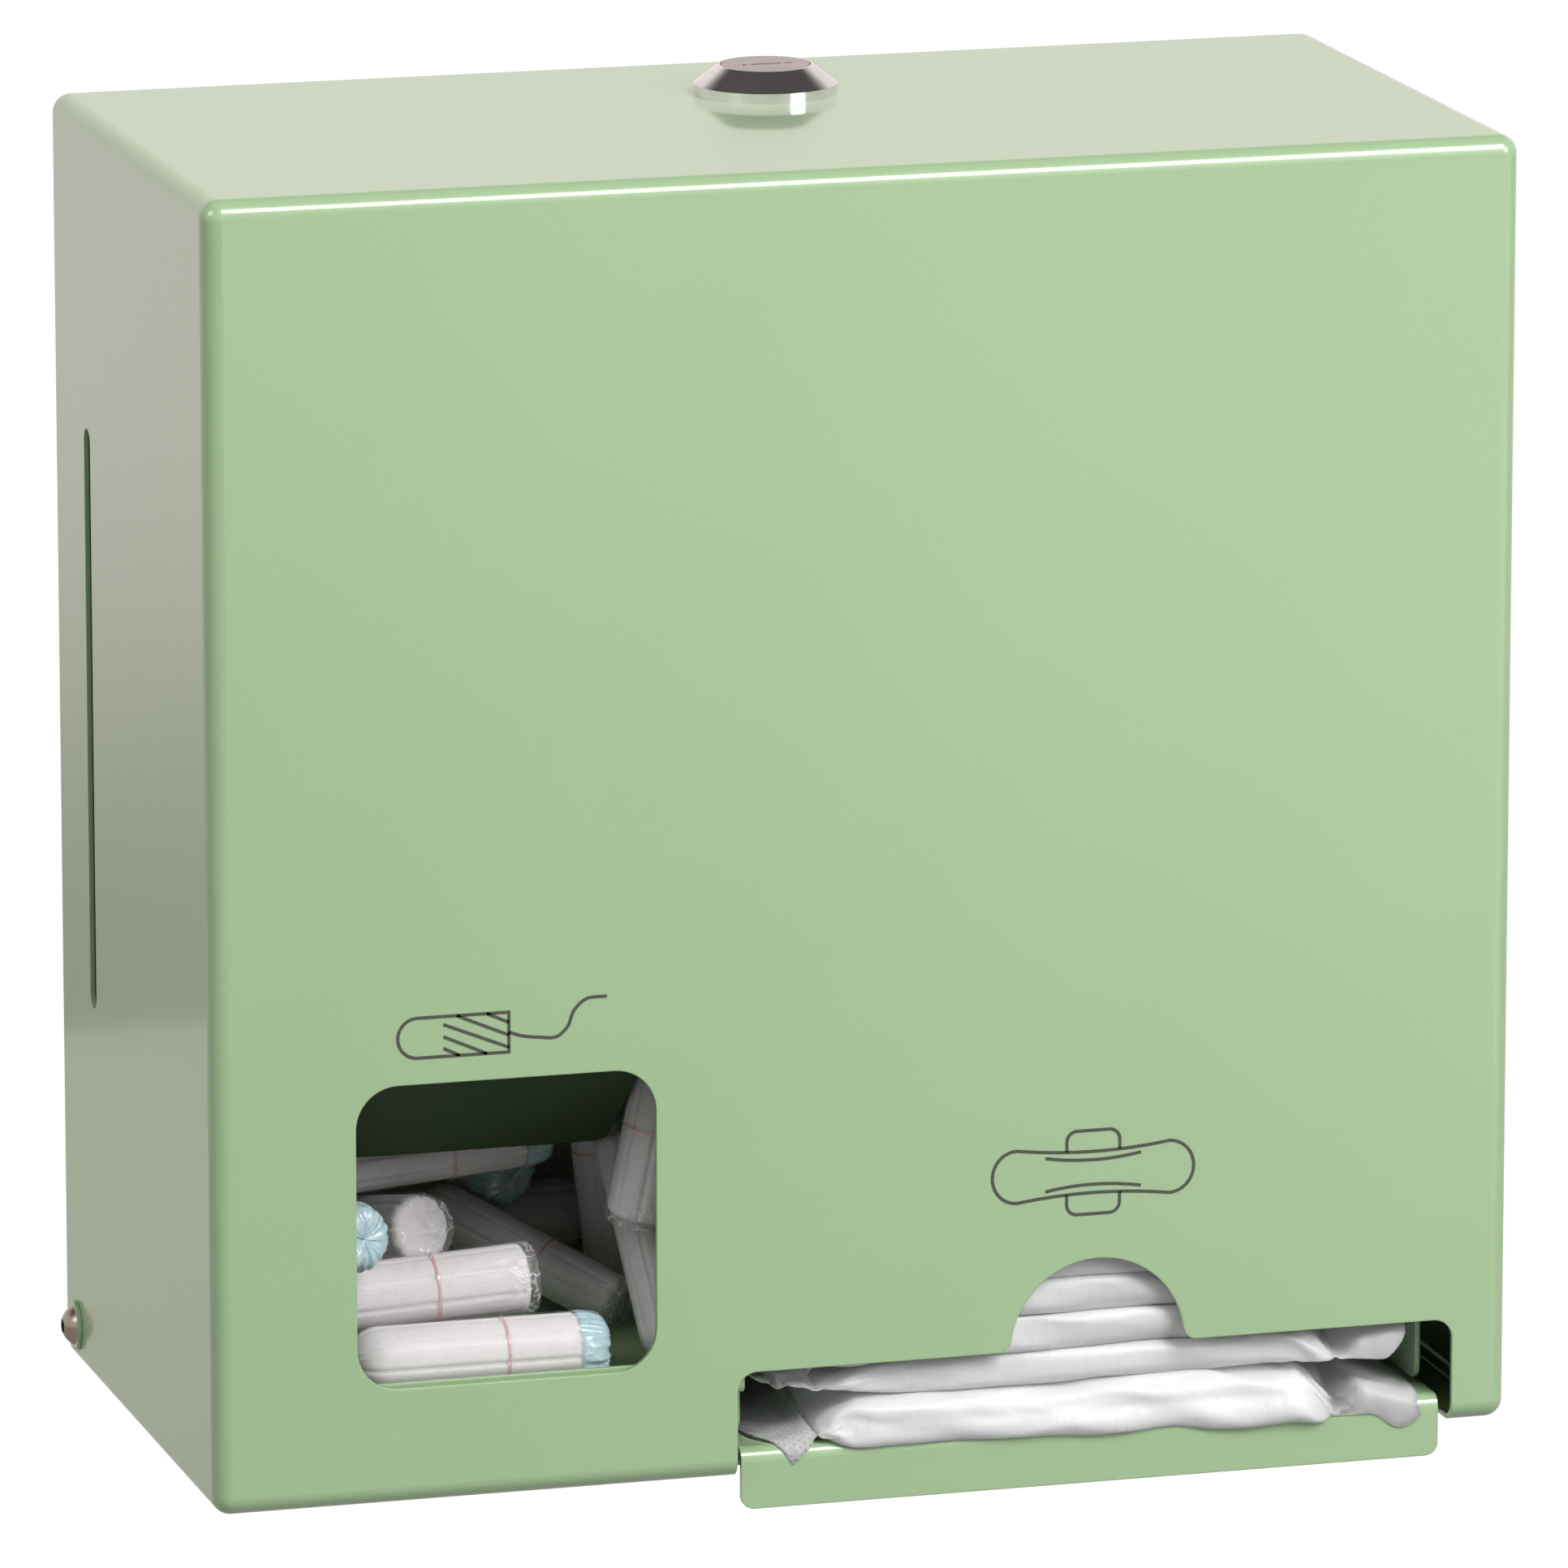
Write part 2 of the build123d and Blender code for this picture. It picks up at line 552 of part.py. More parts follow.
def at_lock(section, start, end):
    """Plan section, drawn about the lock's axis, from one z to another."""
    return Pos(LOCK_X, LOCK_Y, start) * extrude(section, amount=end - start)


def make_lock_body():
    top = COVER_TOP_Z + LOCK_H
    rim = COVER_TOP_Z + LOCK_RIM_H
    rim_part = rod_z(LOCK_FLANGE_R, LOCK_X, LOCK_Y, COVER_TOP_Z, rim)
    cone = Pos(LOCK_X, LOCK_Y, (rim + top) / 2) * Cone(LOCK_FLANGE_R, LOCK_TOP_R, top - rim)
    barrel = at_lock(barrel_section(0), BARREL_END_Z, COVER_TOP_Z)
    recess = rod_z(LOCK_FACE_R + LOCK_FACE_FIT, LOCK_X, LOCK_Y, top - LOCK_FACE_T, top + OVERRUN)
    bore = rod_z(PLUG_R + PLUG_FIT, LOCK_X, LOCK_Y, BARREL_END_Z - OVERRUN, top)
    return rim_part + cone + barrel - recess - bore


def make_lock_plug():
    top = COVER_TOP_Z + LOCK_H
    face = rod_z(LOCK_FACE_R, LOCK_X, LOCK_Y, top - LOCK_FACE_T + TURN_PLAY, top)
    shank = rod_z(PLUG_R, LOCK_X, LOCK_Y, CAM_TOP_Z, top - LOCK_FACE_T / 2)
    tail = at_lock(Rectangle(TAIL_AF, TAIL_AF), CAM_FOOT_Z + CAM_GAP, CAM_TOP_Z)
    keyway = at_lock(Rectangle(KEY_SLOT_L, KEY_SLOT_W), top - KEY_SLOT_DEPTH, top + OVERRUN)
    hole_r = CAM_SCREW_R + THREAD_FIT
    screw_hole = rod_z(hole_r, LOCK_X, LOCK_Y, CAM_FOOT_Z - OVERRUN, CAM_FOOT_Z + CAM_SCREW_L)
    plug = face + shank + tail - keyway - screw_hole
    for x in (LOCK_X - DIMPLE_OFFSET, LOCK_X + DIMPLE_OFFSET):
        plug -= rod_z(DIMPLE_R, x, LOCK_Y, top - DIMPLE_DEPTH, top + OVERRUN)
    return plug


def make_lock_nut():
    top = COVER_TOP_Z - COVER_SHEET - LOCK_WASHER_T
    foot = top - LOCK_NUT_T
    nut = at_lock(RegularPolygon(LOCK_NUT_AF / 2, 6, major_radius=False), foot, top)
    return nut - rod_z(BARREL_R + THREAD_FIT, LOCK_X, LOCK_Y, foot - OVERRUN, top + OVERRUN)


def make_lock_washer():
    top = COVER_TOP_Z - COVER_SHEET
    foot = top - LOCK_WASHER_T
    ring = rod_z(LOCK_WASHER_R, LOCK_X, LOCK_Y, foot, top)
    return ring - rod_z(BARREL_R + BARREL_FIT, LOCK_X, LOCK_Y, foot - OVERRUN, top + OVERRUN)


def make_lock_cam():
    """Flat arm with round ends; unlocked it points at the wall."""
    arm = Pos(0, (CAM_REACH - CAM_W / 2) / 2) * Rot(0, 0, 90) * SlotOverall(CAM_REACH + CAM_W / 2, CAM_W)
    square = Rectangle(TAIL_AF + CAM_FIT, TAIL_AF + CAM_FIT)
    return at_lock(arm - square, CAM_FOOT_Z, CAM_TOP_Z)


def make_cam_screw():
    shank = rod_z(CAM_SCREW_R, LOCK_X, LOCK_Y, CAM_FOOT_Z, CAM_FOOT_Z + CAM_SCREW_L)
    head_foot = CAM_FOOT_Z - CAM_HEAD_H
    head = rod_z(CAM_HEAD_R, LOCK_X, LOCK_Y, head_foot, CAM_FOOT_Z)
    across_head = Rectangle(2 * (CAM_HEAD_R + OVERRUN), CAM_SLOT_W)
    return head + shank - at_lock(across_head, head_foot - OVERRUN, head_foot + CAM_SLOT_DEPTH)


# Contents

def pad_section(x, depth, thickness):
    """Across the pad: flat above and below, with the folded front and rear edges bulging out."""
    bulge = PAD_EDGE_SHARE * thickness
    y, z = depth / 2 - bulge, thickness / 2
    outline = [Line((-y, z), (y, z)), ThreePointArc((y, z), (y + bulge, 0), (y, -z)),
               Line((y, -z), (-y, -z)), ThreePointArc((-y, -z), (-y - bulge, 0), (-y, z))]
    return Pos(x, 0, 0) * (Plane.YZ * make_face(outline))


def make_pad(thickness, foot_z):
    """A wrapped pad: a soft crown that thins out to a crimped seam at each end."""
    sections = []
    for place, crown, spread in PAD_SECTION_SHARES:
        sections.append((place * PAD_L / 2, spread * PAD_D, CRIMP_T + crown * (thickness - CRIMP_T)))
    row = [(-x, d, t) for x, d, t in sections] + sections[::-1]
    pad = loft([pad_section(*section).face() for section in row], ruled=True)
    middle_y = FRONT_Y + PAD_SETBACK + PAD_D / 2
    return Pos(MAGAZINE_X, middle_y, foot_z + thickness / 2) * pad


def make_tampon(diameter, length):
    """Turned along X: a domed tip, a straight body, and a foil end gathered to a neck."""
    r = diameter / 2
    tip, tail = -length / 2, length / 2
    tip_x = tip + TIP_SHARE * r
    body_x = tail - FOIL_L
    neck_r = FOIL_NECK_SHARE * r
    side = [(tip_x, r), (body_x, r), (body_x + FOIL_L / 2, neck_r), (tail, FOIL_END_SHARE * neck_r)]
    outline = make_face([cap(tip_x, tip, r), Polyline(*side, (tail, 0), (tip, 0))])
    return revolve(outline, Axis.X)


# Middle of each tampon: along the hopper from its side wall, as a share of its width, then back from the
# bin's lip and up from the bin's floor, in diameters of the larger size. Heading and tilt in degrees.
HEAP_SHARES = (
    (0.492, 0.52, 0.62, 0.0, 0.0, "large"),
    (0.378, 1.24, 1.37, 0.0, 3.0, "large"),
    (0.312, 2.20, 0.93, 0.0, 0.0, "large"),
    (0.354, 3.53, 1.69, -68.0, 12.0, "large"),
    (0.480, 3.11, 2.90, 0.0, 5.0, "large"),
    (0.165, 1.76, 2.30, -66.0, 5.0, "large"),
    (0.618, 4.85, 1.38, 0.0, 0.0, "large"),
    (0.579, 5.37, 2.54, -64.0, -11.0, "large"),
    (0.678, 3.08, 1.30, -42.0, -21.0, "slim"),
    (0.869, 1.60, 1.71, 100.0, 59.0, "slim"),
    (0.848, 3.41, 2.34, -144.0, 80.0, "slim"),
    (0.878, 0.96, 3.94, 154.0, -79.0, "large"),
    (0.840, 6.00, 2.80, -127.0, 82.0, "slim"),
)


def make_heap():
    sizes = {"large": (TAMPON_D, TAMPON_L), "slim": (SLIM_D, SLIM_L)}
    heap = []
    for along, back, up, heading, tilt, size in HEAP_SHARES:
        corner = Pos(HOPPER_LEFT_X, BIN_LIP_Y, level(BIN_FLOOR))
        place = corner * Pos(along * HOPPER_W, back * TAMPON_D, up * TAMPON_D)
        heap.append(place * Rot(0, 0, heading) * Rot(0, -tilt, 0) * make_tampon(*sizes[size]))
    return heap


def export(shape, name):
    shape.label = name
    export_step(shape, f"parts/{name}.step")


def main():
    os.makedirs("parts", exist_ok=True)
    flush = bed_rivets() + side_rivets()
    domed = flange_rivets()
    sheets = {
        "back_plate": make_back_plate(),
        "pad_channel": make_pad_channel(),
        "pad_tray": make_pad_tray(),
        "hopper_side": make_hopper_side(),
        "hopper_front": make_hopper_front(),
        "hopper_floor": make_hopper_floor(),
        "lock_strike": make_strike(),
    }
    for name, sheet in sheets.items():
        for fastener in flush + domed:
            sheet -= fastener
        export(sheet, name)
    export(Compound(children=flush), "flush_rivets")
    export(Compound(children=domed), "domed_rivets")
    export(make_cover(), "cover")
    export(both_sides(make_hinge_screw()), "hinge_screws")
    export(both_sides(make_hinge_washer()), "hinge_washers")
    export(both_sides(make_rivet_nut()), "rivet_nuts")
    export(make_lock_body(), "lock_body")
    export(make_lock_plug(), "lock_plug")
    export(make_lock_nut(), "lock_nut")
    export(make_lock_washer(), "lock_washer")
    export(make_lock_cam(), "lock_cam")
    export(make_cam_screw(), "cam_screw")
    foot = level(TRAY_FLOOR) + PAD_GAP
    for number in range(1, PAD_COUNT + 1):
        thickness = FIRST_PAD_T if number == 1 else PAD_T
        export(make_pad(thickness, foot), f"pad_{number:02d}")
        foot += thickness + PAD_GAP
    for number, tampon in enumerate(make_heap(), start=1):
        export(tampon, f"tampon_{number:02d}")


main()
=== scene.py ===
"""The looks of a wall dispenser for wrapped pads and tampons.

The cover, its liner, the lock and the fasteners keep their solid shapes and get their finishes.
The wrapped pads, the wrapped tampons and the two line drawings on the front are surfaces made here.
Lengths are metres, +Z is up, and the front of the dispenser faces -Y.
"""
import math

import bpy
import numpy as np
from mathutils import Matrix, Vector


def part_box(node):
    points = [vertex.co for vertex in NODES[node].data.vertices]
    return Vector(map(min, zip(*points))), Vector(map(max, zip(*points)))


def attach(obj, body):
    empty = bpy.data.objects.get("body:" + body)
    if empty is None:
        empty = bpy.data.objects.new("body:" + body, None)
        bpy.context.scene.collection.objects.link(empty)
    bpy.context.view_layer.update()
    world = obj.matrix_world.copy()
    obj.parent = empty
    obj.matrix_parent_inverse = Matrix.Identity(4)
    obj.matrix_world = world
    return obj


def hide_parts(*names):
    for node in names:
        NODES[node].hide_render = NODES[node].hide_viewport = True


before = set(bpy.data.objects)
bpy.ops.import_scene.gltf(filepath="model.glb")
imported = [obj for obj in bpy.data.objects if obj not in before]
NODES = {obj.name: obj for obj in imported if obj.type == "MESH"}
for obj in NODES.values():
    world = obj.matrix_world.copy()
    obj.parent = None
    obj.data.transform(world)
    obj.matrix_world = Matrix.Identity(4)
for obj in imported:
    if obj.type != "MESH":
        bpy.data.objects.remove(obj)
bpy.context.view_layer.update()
FRONT_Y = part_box("cover")[0].y
FOOT_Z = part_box("cover")[0].z
MM = 0.001

bl_info = {
    "name": "Pad and tampon dispenser",
    "version": (1, 0, 0),
    "blender": (4, 5, 0),
    "location": "View3D > Sidebar > Dispenser",
    "description": "Finishes, wrapped goods and line drawings of a wall dispenser",
    "category": "Object",
}


# Settings


class FinishSettings(bpy.types.PropertyGroup):
    coat: bpy.props.FloatVectorProperty(
        name="Powder coat", description="Colour of the coated steel", subtype="COLOR",
        default=(0.375, 0.545, 0.305), min=0, max=1)
    coat_gloss: bpy.props.FloatProperty(
        name="Coat roughness", description="Roughness under the coat's clear skin",
        default=0.32, min=0, max=1, subtype="FACTOR")
    chrome: bpy.props.FloatVectorProperty(
        name="Chrome", description="Colour of the lock's plating", subtype="COLOR",
        default=(0.80, 0.80, 0.80), min=0, max=1)
    nickel: bpy.props.FloatVectorProperty(
        name="Nickel", description="Colour of the lock's satin plug", subtype="COLOR",
        default=(0.58, 0.51, 0.52), min=0, max=1)
    steel: bpy.props.FloatVectorProperty(
        name="Stainless steel", description="Colour of the hinge screws", subtype="COLOR",
        default=(0.40, 0.34, 0.29), min=0, max=1)
    zinc: bpy.props.FloatVectorProperty(
        name="Zinc plate", description="Colour of the hidden fasteners", subtype="COLOR",
        default=(0.60, 0.61, 0.62), min=0, max=1)
    ink: bpy.props.FloatVectorProperty(
        name="Ink", description="Colour of the line drawings", subtype="COLOR",
        default=(0.058, 0.066, 0.048), min=0, max=1)


class PadSettings(bpy.types.PropertyGroup):
    film: bpy.props.FloatVectorProperty(
        name="Film", description="Colour of the pad's wrapper", subtype="COLOR",
        default=(0.79, 0.79, 0.80), min=0, max=1)
    left_seal: bpy.props.FloatProperty(
        name="Left seal", description="Width of the flat seal at the left end", default=10.3 * MM,
        min=4 * MM, max=30 * MM, unit="LENGTH")
    right_seal: bpy.props.FloatProperty(
        name="Right seal", description="Width of the flat seal at the right end", default=14.7 * MM,
        min=4 * MM, max=30 * MM, unit="LENGTH")
    shoulder: bpy.props.FloatProperty(
        name="Shoulder", description="Length over which the body thins out to a seal", default=5 * MM,
        min=2 * MM, max=20 * MM, unit="LENGTH")
    film_t: bpy.props.FloatProperty(
        name="Seal thickness", description="Thickness of the flat seal", default=0.5 * MM,
        min=0.1 * MM, max=2 * MM, unit="LENGTH")
    wave: bpy.props.FloatProperty(
        name="Wave", description="Height of the wrapper's large folds", default=0.3 * MM,
        min=0, max=3 * MM, unit="LENGTH")
    swell: bpy.props.FloatProperty(
        name="Swell", description="Most that the wrapper moves as it fills", default=1.1 * MM,
        min=0, max=5 * MM, unit="LENGTH")
    pressure: bpy.props.FloatProperty(
        name="Pressure", description="Pressure of the filling on the wrapper", default=4, min=0, max=40)


class TamponSettings(bpy.types.PropertyGroup):
    cotton: bpy.props.FloatVectorProperty(
        name="Cotton", description="Colour of the pressed cotton", subtype="COLOR",
        default=(0.76, 0.73, 0.73), min=0, max=1)
    foil: bpy.props.FloatVectorProperty(
        name="Foil", description="Colour of the tinted film end", subtype="COLOR",
        default=(0.52, 0.73, 0.79), min=0, max=1)
    band: bpy.props.FloatVectorProperty(
        name="Tear band", description="Colour of the tear band", subtype="COLOR",
        default=(0.72, 0.34, 0.38), min=0, max=1)
    groove: bpy.props.FloatProperty(
        name="Groove", description="Depth of the cotton's lengthwise grooves", default=0.45 * MM,
        min=0, max=2 * MM, unit="LENGTH")
    film_gap: bpy.props.FloatProperty(
        name="Film gap", description="Air between the cotton and its film", default=0.22 * MM,
        min=0.05 * MM, max=1 * MM, unit="LENGTH")


class DrawingSettings(bpy.types.PropertyGroup):
    line: bpy.props.FloatProperty(
        name="Line width", description="Width of the drawn lines", default=0.62 * MM,
        min=0.2 * MM, max=3 * MM, unit="LENGTH")
    proud: bpy.props.FloatProperty(
        name="Ink height", description="How far the ink stands on the coat", default=0.05 * MM,
        min=0.01 * MM, max=1 * MM, unit="LENGTH")


class StageSettings(bpy.types.PropertyGroup):
    floor: bpy.props.FloatVectorProperty(
        name="Floor", description="Colour of the floor", subtype="COLOR",
        default=(0.20, 0.20, 0.20), min=0, max=1)
    glow: bpy.props.FloatProperty(
        name="Floor glow", description="Brightness added to the floor where it is seen as backdrop",
        default=0.86, min=0, max=2)
    mirror: bpy.props.FloatVectorProperty(
        name="Mirrored room", description="Colour of the room in glossy surfaces", subtype="COLOR",
        default=(1.0, 0.92, 0.89), min=0, max=1)
    sheen: bpy.props.FloatVectorProperty(
        name="Mirrored floor", description="Colour of the floor in glossy surfaces", subtype="COLOR",
        default=(1.0, 0.97, 0.82), min=0, max=1)
    floor_z: bpy.props.FloatProperty(
        name="Floor height", description="Height of the floor", default=-0.40, max=-0.13, unit="LENGTH")
    key: bpy.props.FloatProperty(
        name="Key lamp", description="Power of the lamp above the front", default=129, min=0, unit="POWER")
    fill: bpy.props.FloatProperty(
        name="Fill lamp", description="Power of the low lamp at the right", default=14, min=0, unit="POWER")
    side: bpy.props.FloatProperty(
        name="Side lamp", description="Power of the lamp at the left", default=20, min=0, unit="POWER")
    air: bpy.props.FloatProperty(
        name="Room light", description="Light from all round on matt surfaces", default=0.36, min=0, max=2)


class DispenserSettings(bpy.types.PropertyGroup):
    finish: bpy.props.PointerProperty(type=FinishSettings, name="Finish", description="Colours of the metal")
    pads: bpy.props.PointerProperty(type=PadSettings, name="Pads", description="The wrapped pads")
    tampons: bpy.props.PointerProperty(type=TamponSettings, name="Tampons", description="The wrapped tampons")
    drawings: bpy.props.PointerProperty(type=DrawingSettings, name="Drawings", description="The line drawings")
    stage: bpy.props.PointerProperty(type=StageSettings, name="Stage", description="Floor, lamps and camera")


def settings():
    return bpy.context.scene.dispenser


# Shader building blocks


def group(name, inputs, outputs):
    """An empty node group with the named sockets: (label, socket type, value) in, (label, type) out."""
    tree = bpy.data.node_groups.new(name, "ShaderNodeTree")
    for label, kind, value in inputs:
        made = tree.interface.new_socket(name=label, in_out="INPUT", socket_type=kind)
        if value is not None:
            made.default_value = value
    for label, kind in outputs:
        tree.interface.new_socket(name=label, in_out="OUTPUT", socket_type=kind)
    return tree, tree.nodes.new("NodeGroupInput"), tree.nodes.new("NodeGroupOutput")


def node(tree, kind, **values):
    """A node with its plain values set: a name is a property, or an input where the node has one."""
    made = tree.nodes.new(kind)
    for key, value in values.items():
        label = key.replace("_", " ").title()
        if hasattr(made, key):
            setattr(made, key, value)
        else:
            made.inputs[label].default_value = value
    return made


def math_node(tree, operation, first, second=None, clamp=False):
    """One step of arithmetic. A socket is linked and a number is written in."""
    made = tree.nodes.new("ShaderNodeMath")
    made.operation = operation
    made.use_clamp = clamp
    for place, value in enumerate((first, second)):
        if value is None:
            continue
        if isinstance(value, (int, float)):
            made.inputs[place].default_value = value
        else:
            tree.links.new(value, made.inputs[place])
    return made.outputs[0]


def colour_mix(tree, factor, first, second):
    """Two colours mixed by a factor. A socket is linked and a colour is written in."""
    made = tree.nodes.new("ShaderNodeMix")
    made.data_type = "RGBA"
    for place, value in ((0, factor), (6, first), (7, second)):
        if isinstance(value, (int, float)):
            made.inputs[place].default_value = value
        elif isinstance(value, (tuple, list)):
            made.inputs[place].default_value = tuple(value)[:3] + (1,)
        else:
            tree.links.new(value, made.inputs[place])
    return made.outputs[2]


def span(tree, value, low, high, out_low=0.0, out_high=1.0):
    """A value's range mapped smoothly to another."""
    made = tree.nodes.new("ShaderNodeMapRange")
    made.interpolation_type = "SMOOTHSTEP"
    tree.links.new(value, made.inputs[0])
    for place, number in zip((1, 2, 3, 4), (low, high, out_low, out_high)):
        made.inputs[place].default_value = number
    return made.outputs[0]


def noise(tree, vector, scale, detail=2.0, roughness=0.5, distortion=0.0):
    """Smooth noise at a vector. The scale is a number or a socket."""
    made = tree.nodes.new("ShaderNodeTexNoise")
    tree.links.new(vector, made.inputs["Vector"])
    if isinstance(scale, (int, float)):
        made.inputs["Scale"].default_value = scale
    else:
        tree.links.new(scale, made.inputs["Scale"])
    made.inputs["Detail"].default_value = detail
    made.inputs["Roughness"].default_value = roughness
    made.inputs["Distortion"].default_value = distortion
    return made.outputs[0]


def mottle_group():
    """Mottle: broad patches plus fine grain, each a plain noise about one half, so that a colour drifts slightly.
    """
    tree, inp, out = group("Mottle", [
        ("Vector", "NodeSocketVector", None), ("Patch Scale", "NodeSocketFloat", 9.0),
        ("Grain Scale", "NodeSocketFloat", 700.0)],
        [("Patch", "NodeSocketFloat"), ("Grain", "NodeSocketFloat")])
    patch = noise(tree, inp.outputs[0], inp.outputs[1], 3.0, 0.55)
    grain = noise(tree, inp.outputs[0], inp.outputs[2], 2.0, 0.6)
    tree.links.new(patch, out.inputs[0])
    tree.links.new(grain, out.inputs[1])
    return tree


def edge_group():
    """Thin edge: how far the rounded normal leaves the true one."""
    tree, inp, out = group("Thin edge", [
        ("Rounded", "NodeSocketVector", None), ("Sharp", "NodeSocketVector", None)],
        [("Edge", "NodeSocketFloat")])
    dot = node(tree, "ShaderNodeVectorMath", operation="DOT_PRODUCT")
    tree.links.new(inp.outputs[0], dot.inputs[0])
    tree.links.new(inp.outputs[1], dot.inputs[1])
    away = math_node(tree, "SUBTRACT", 1.0, dot.outputs["Value"])
    tree.links.new(span(tree, away, 0.01, 0.20), out.inputs[0])
    return tree


def crease_group():
    """Creased film: two stretched noises, each folded at its middle into ridges, added with their own weights."""
    tree, inp, out = group("Creased film", [
        ("Vector", "NodeSocketVector", None), ("Scale", "NodeSocketFloat", 120.0),
        ("Fine Scale", "NodeSocketFloat", 420.0)],
        [("Height", "NodeSocketFloat"), ("Ridge", "NodeSocketFloat")])
    broad = noise(tree, inp.outputs[0], inp.outputs[1], 2.0, 0.5, 0.6)
    fine = noise(tree, inp.outputs[0], inp.outputs[2], 2.0, 0.5, 0.4)
    folds = []
    for value in (broad, fine):
        folded = math_node(tree, "ABSOLUTE", math_node(tree, "SUBTRACT", value, 0.5))
        folds.append(math_node(tree, "MULTIPLY", folded, -2.0))
    height = math_node(tree, "ADD", folds[0], math_node(tree, "MULTIPLY", folds[1], 0.35))
    tree.links.new(height, out.inputs[0])
    tree.links.new(span(tree, folds[0], -0.07, 0.0), out.inputs[1])
    return tree


def rings_group():
    """Turned rings: the distance from the axis, repeated at the tool's pitch, as a sine's height."""
    tree, inp, out = group("Turned rings", [
        ("Vector", "NodeSocketVector", None), ("Pitch", "NodeSocketFloat", 0.0004)],
        [("Height", "NodeSocketFloat")])
    flat = node(tree, "ShaderNodeVectorMath", operation="MULTIPLY")
    tree.links.new(inp.outputs[0], flat.inputs[0])
    flat.inputs[1].default_value = (1, 1, 0)
    length = node(tree, "ShaderNodeVectorMath", operation="LENGTH")
    tree.links.new(flat.outputs[0], length.inputs[0])
    turns = math_node(tree, "DIVIDE", length.outputs["Value"], inp.outputs[1])
    wave = math_node(tree, "SINE", math_node(tree, "MULTIPLY", turns, 2 * math.pi))
    tree.links.new(wave, out.inputs[0])
    return tree


def shared(make):
    """The node group that a function makes, made once."""
    tree = bpy.data.node_groups.get(shared.names.get(make, ""))
    if tree is None:
        tree = make()
        shared.names[make] = tree.name
    return tree


shared.names = {}


def use(tree, make, **links):
    """A shared group placed in a material, with its sockets linked or set by name."""
    made = tree.nodes.new("ShaderNodeGroup")
    made.node_tree = shared(make)
    for key, value in links.items():
        socket = made.inputs[key.replace("_", " ")]
        if isinstance(value, (int, float)):
            socket.default_value = value
        else:
            tree.links.new(value, socket)
    return made


def material(name):
    """A new material with its Principled shader. Returns the material, tree, shader and Object coordinates."""
    made = bpy.data.materials.new(name)
    made.use_nodes = True
    tree = made.node_tree
    shader = tree.nodes["Principled BSDF"]
    place = tree.nodes.new("ShaderNodeTexCoord")
    return made, tree, shader, place


def moved(tree, vector, location=(0, 0, 0), rotation=(0, 0, 0), scale=(1, 1, 1)):
    """Coordinates shifted, turned and stretched."""
    made = tree.nodes.new("ShaderNodeMapping")
    tree.links.new(vector, made.inputs["Vector"])
    made.inputs["Location"].default_value = location
    made.inputs["Rotation"].default_value = rotation
    made.inputs["Scale"].default_value = scale
    return made.outputs[0]


def bump(tree, height, strength, distance, normal=None):
    """A normal tipped by a height, over the given normal where there is one."""
    made = tree.nodes.new("ShaderNodeBump")
    made.inputs["Strength"].default_value = strength
    made.inputs["Distance"].default_value = distance
    tree.links.new(height, made.inputs["Height"])
    if normal is not None:
        tree.links.new(normal, made.inputs["Normal"])
    return made.outputs[0]


# Materials


def powder_coat(name, shade, depth, gloss, skin):
    """Powder coat: slight mottle and orange peel, and softened edges whose colour is lightened as a painted
    highlight.
    Its colour is the setting raised to the power of depth, times shade; below one, these paint shade and the
    deeper green of bounced light onto a sheet that lies in shadow."""
    made, tree, shader, place = material(name)
    coat = tuple(shade * c ** depth for c in settings().finish.coat)
    mottle = use(tree, mottle_group, Vector=place.outputs["Object"], Patch_Scale=11.0, Grain_Scale=1500.0)
    rounded = node(tree, "ShaderNodeBevel", samples=6)
    rounded.inputs["Radius"].default_value = 0.35 * MM
    true = tree.nodes.new("ShaderNodeNewGeometry")
    thin = use(tree, edge_group, Rounded=rounded.outputs[0], Sharp=true.outputs["Normal"])
    pale = tuple(min(1, c * 1.012) for c in coat)
    deep = tuple(c * 0.985 for c in coat)
    colour = colour_mix(tree, span(tree, mottle.outputs["Patch"], 0.3, 0.7), deep, pale)
    colour = colour_mix(tree, span(tree, mottle.outputs["Grain"], 0.35, 0.75, 0.0, 0.07), colour,
                        tuple(c * 0.80 for c in coat))
    # Painted highlight: the colour is lightened along the softened edges, by the thin edge mask.
    painted_edge_highlight = tuple(min(1, c * 1.18 + 0.02 * shade) for c in coat)
    colour = colour_mix(tree, math_node(tree, "MULTIPLY", thin.outputs["Edge"], 0.45), colour, painted_edge_highlight)
    tree.links.new(colour, shader.inputs["Base Color"])
    rough = math_node(tree, "ADD", gloss - 0.05,
                      math_node(tree, "MULTIPLY", mottle.outputs["Grain"], 0.10))
    tree.links.new(rough, shader.inputs["Roughness"])
    peel = noise(tree, place.outputs["Object"], 520.0, 1.5, 0.45)
    tree.links.new(bump(tree, peel, 0.10, 0.06 * MM, rounded.outputs[0]), shader.inputs["Normal"])
    shader.inputs["Specular IOR Level"].default_value = 0.5 if skin else 0.1
    shader.inputs["Coat Weight"].default_value = skin
    shader.inputs["Coat Roughness"].default_value = 0.07
    shader.inputs["Coat IOR"].default_value = 1.5
    return made


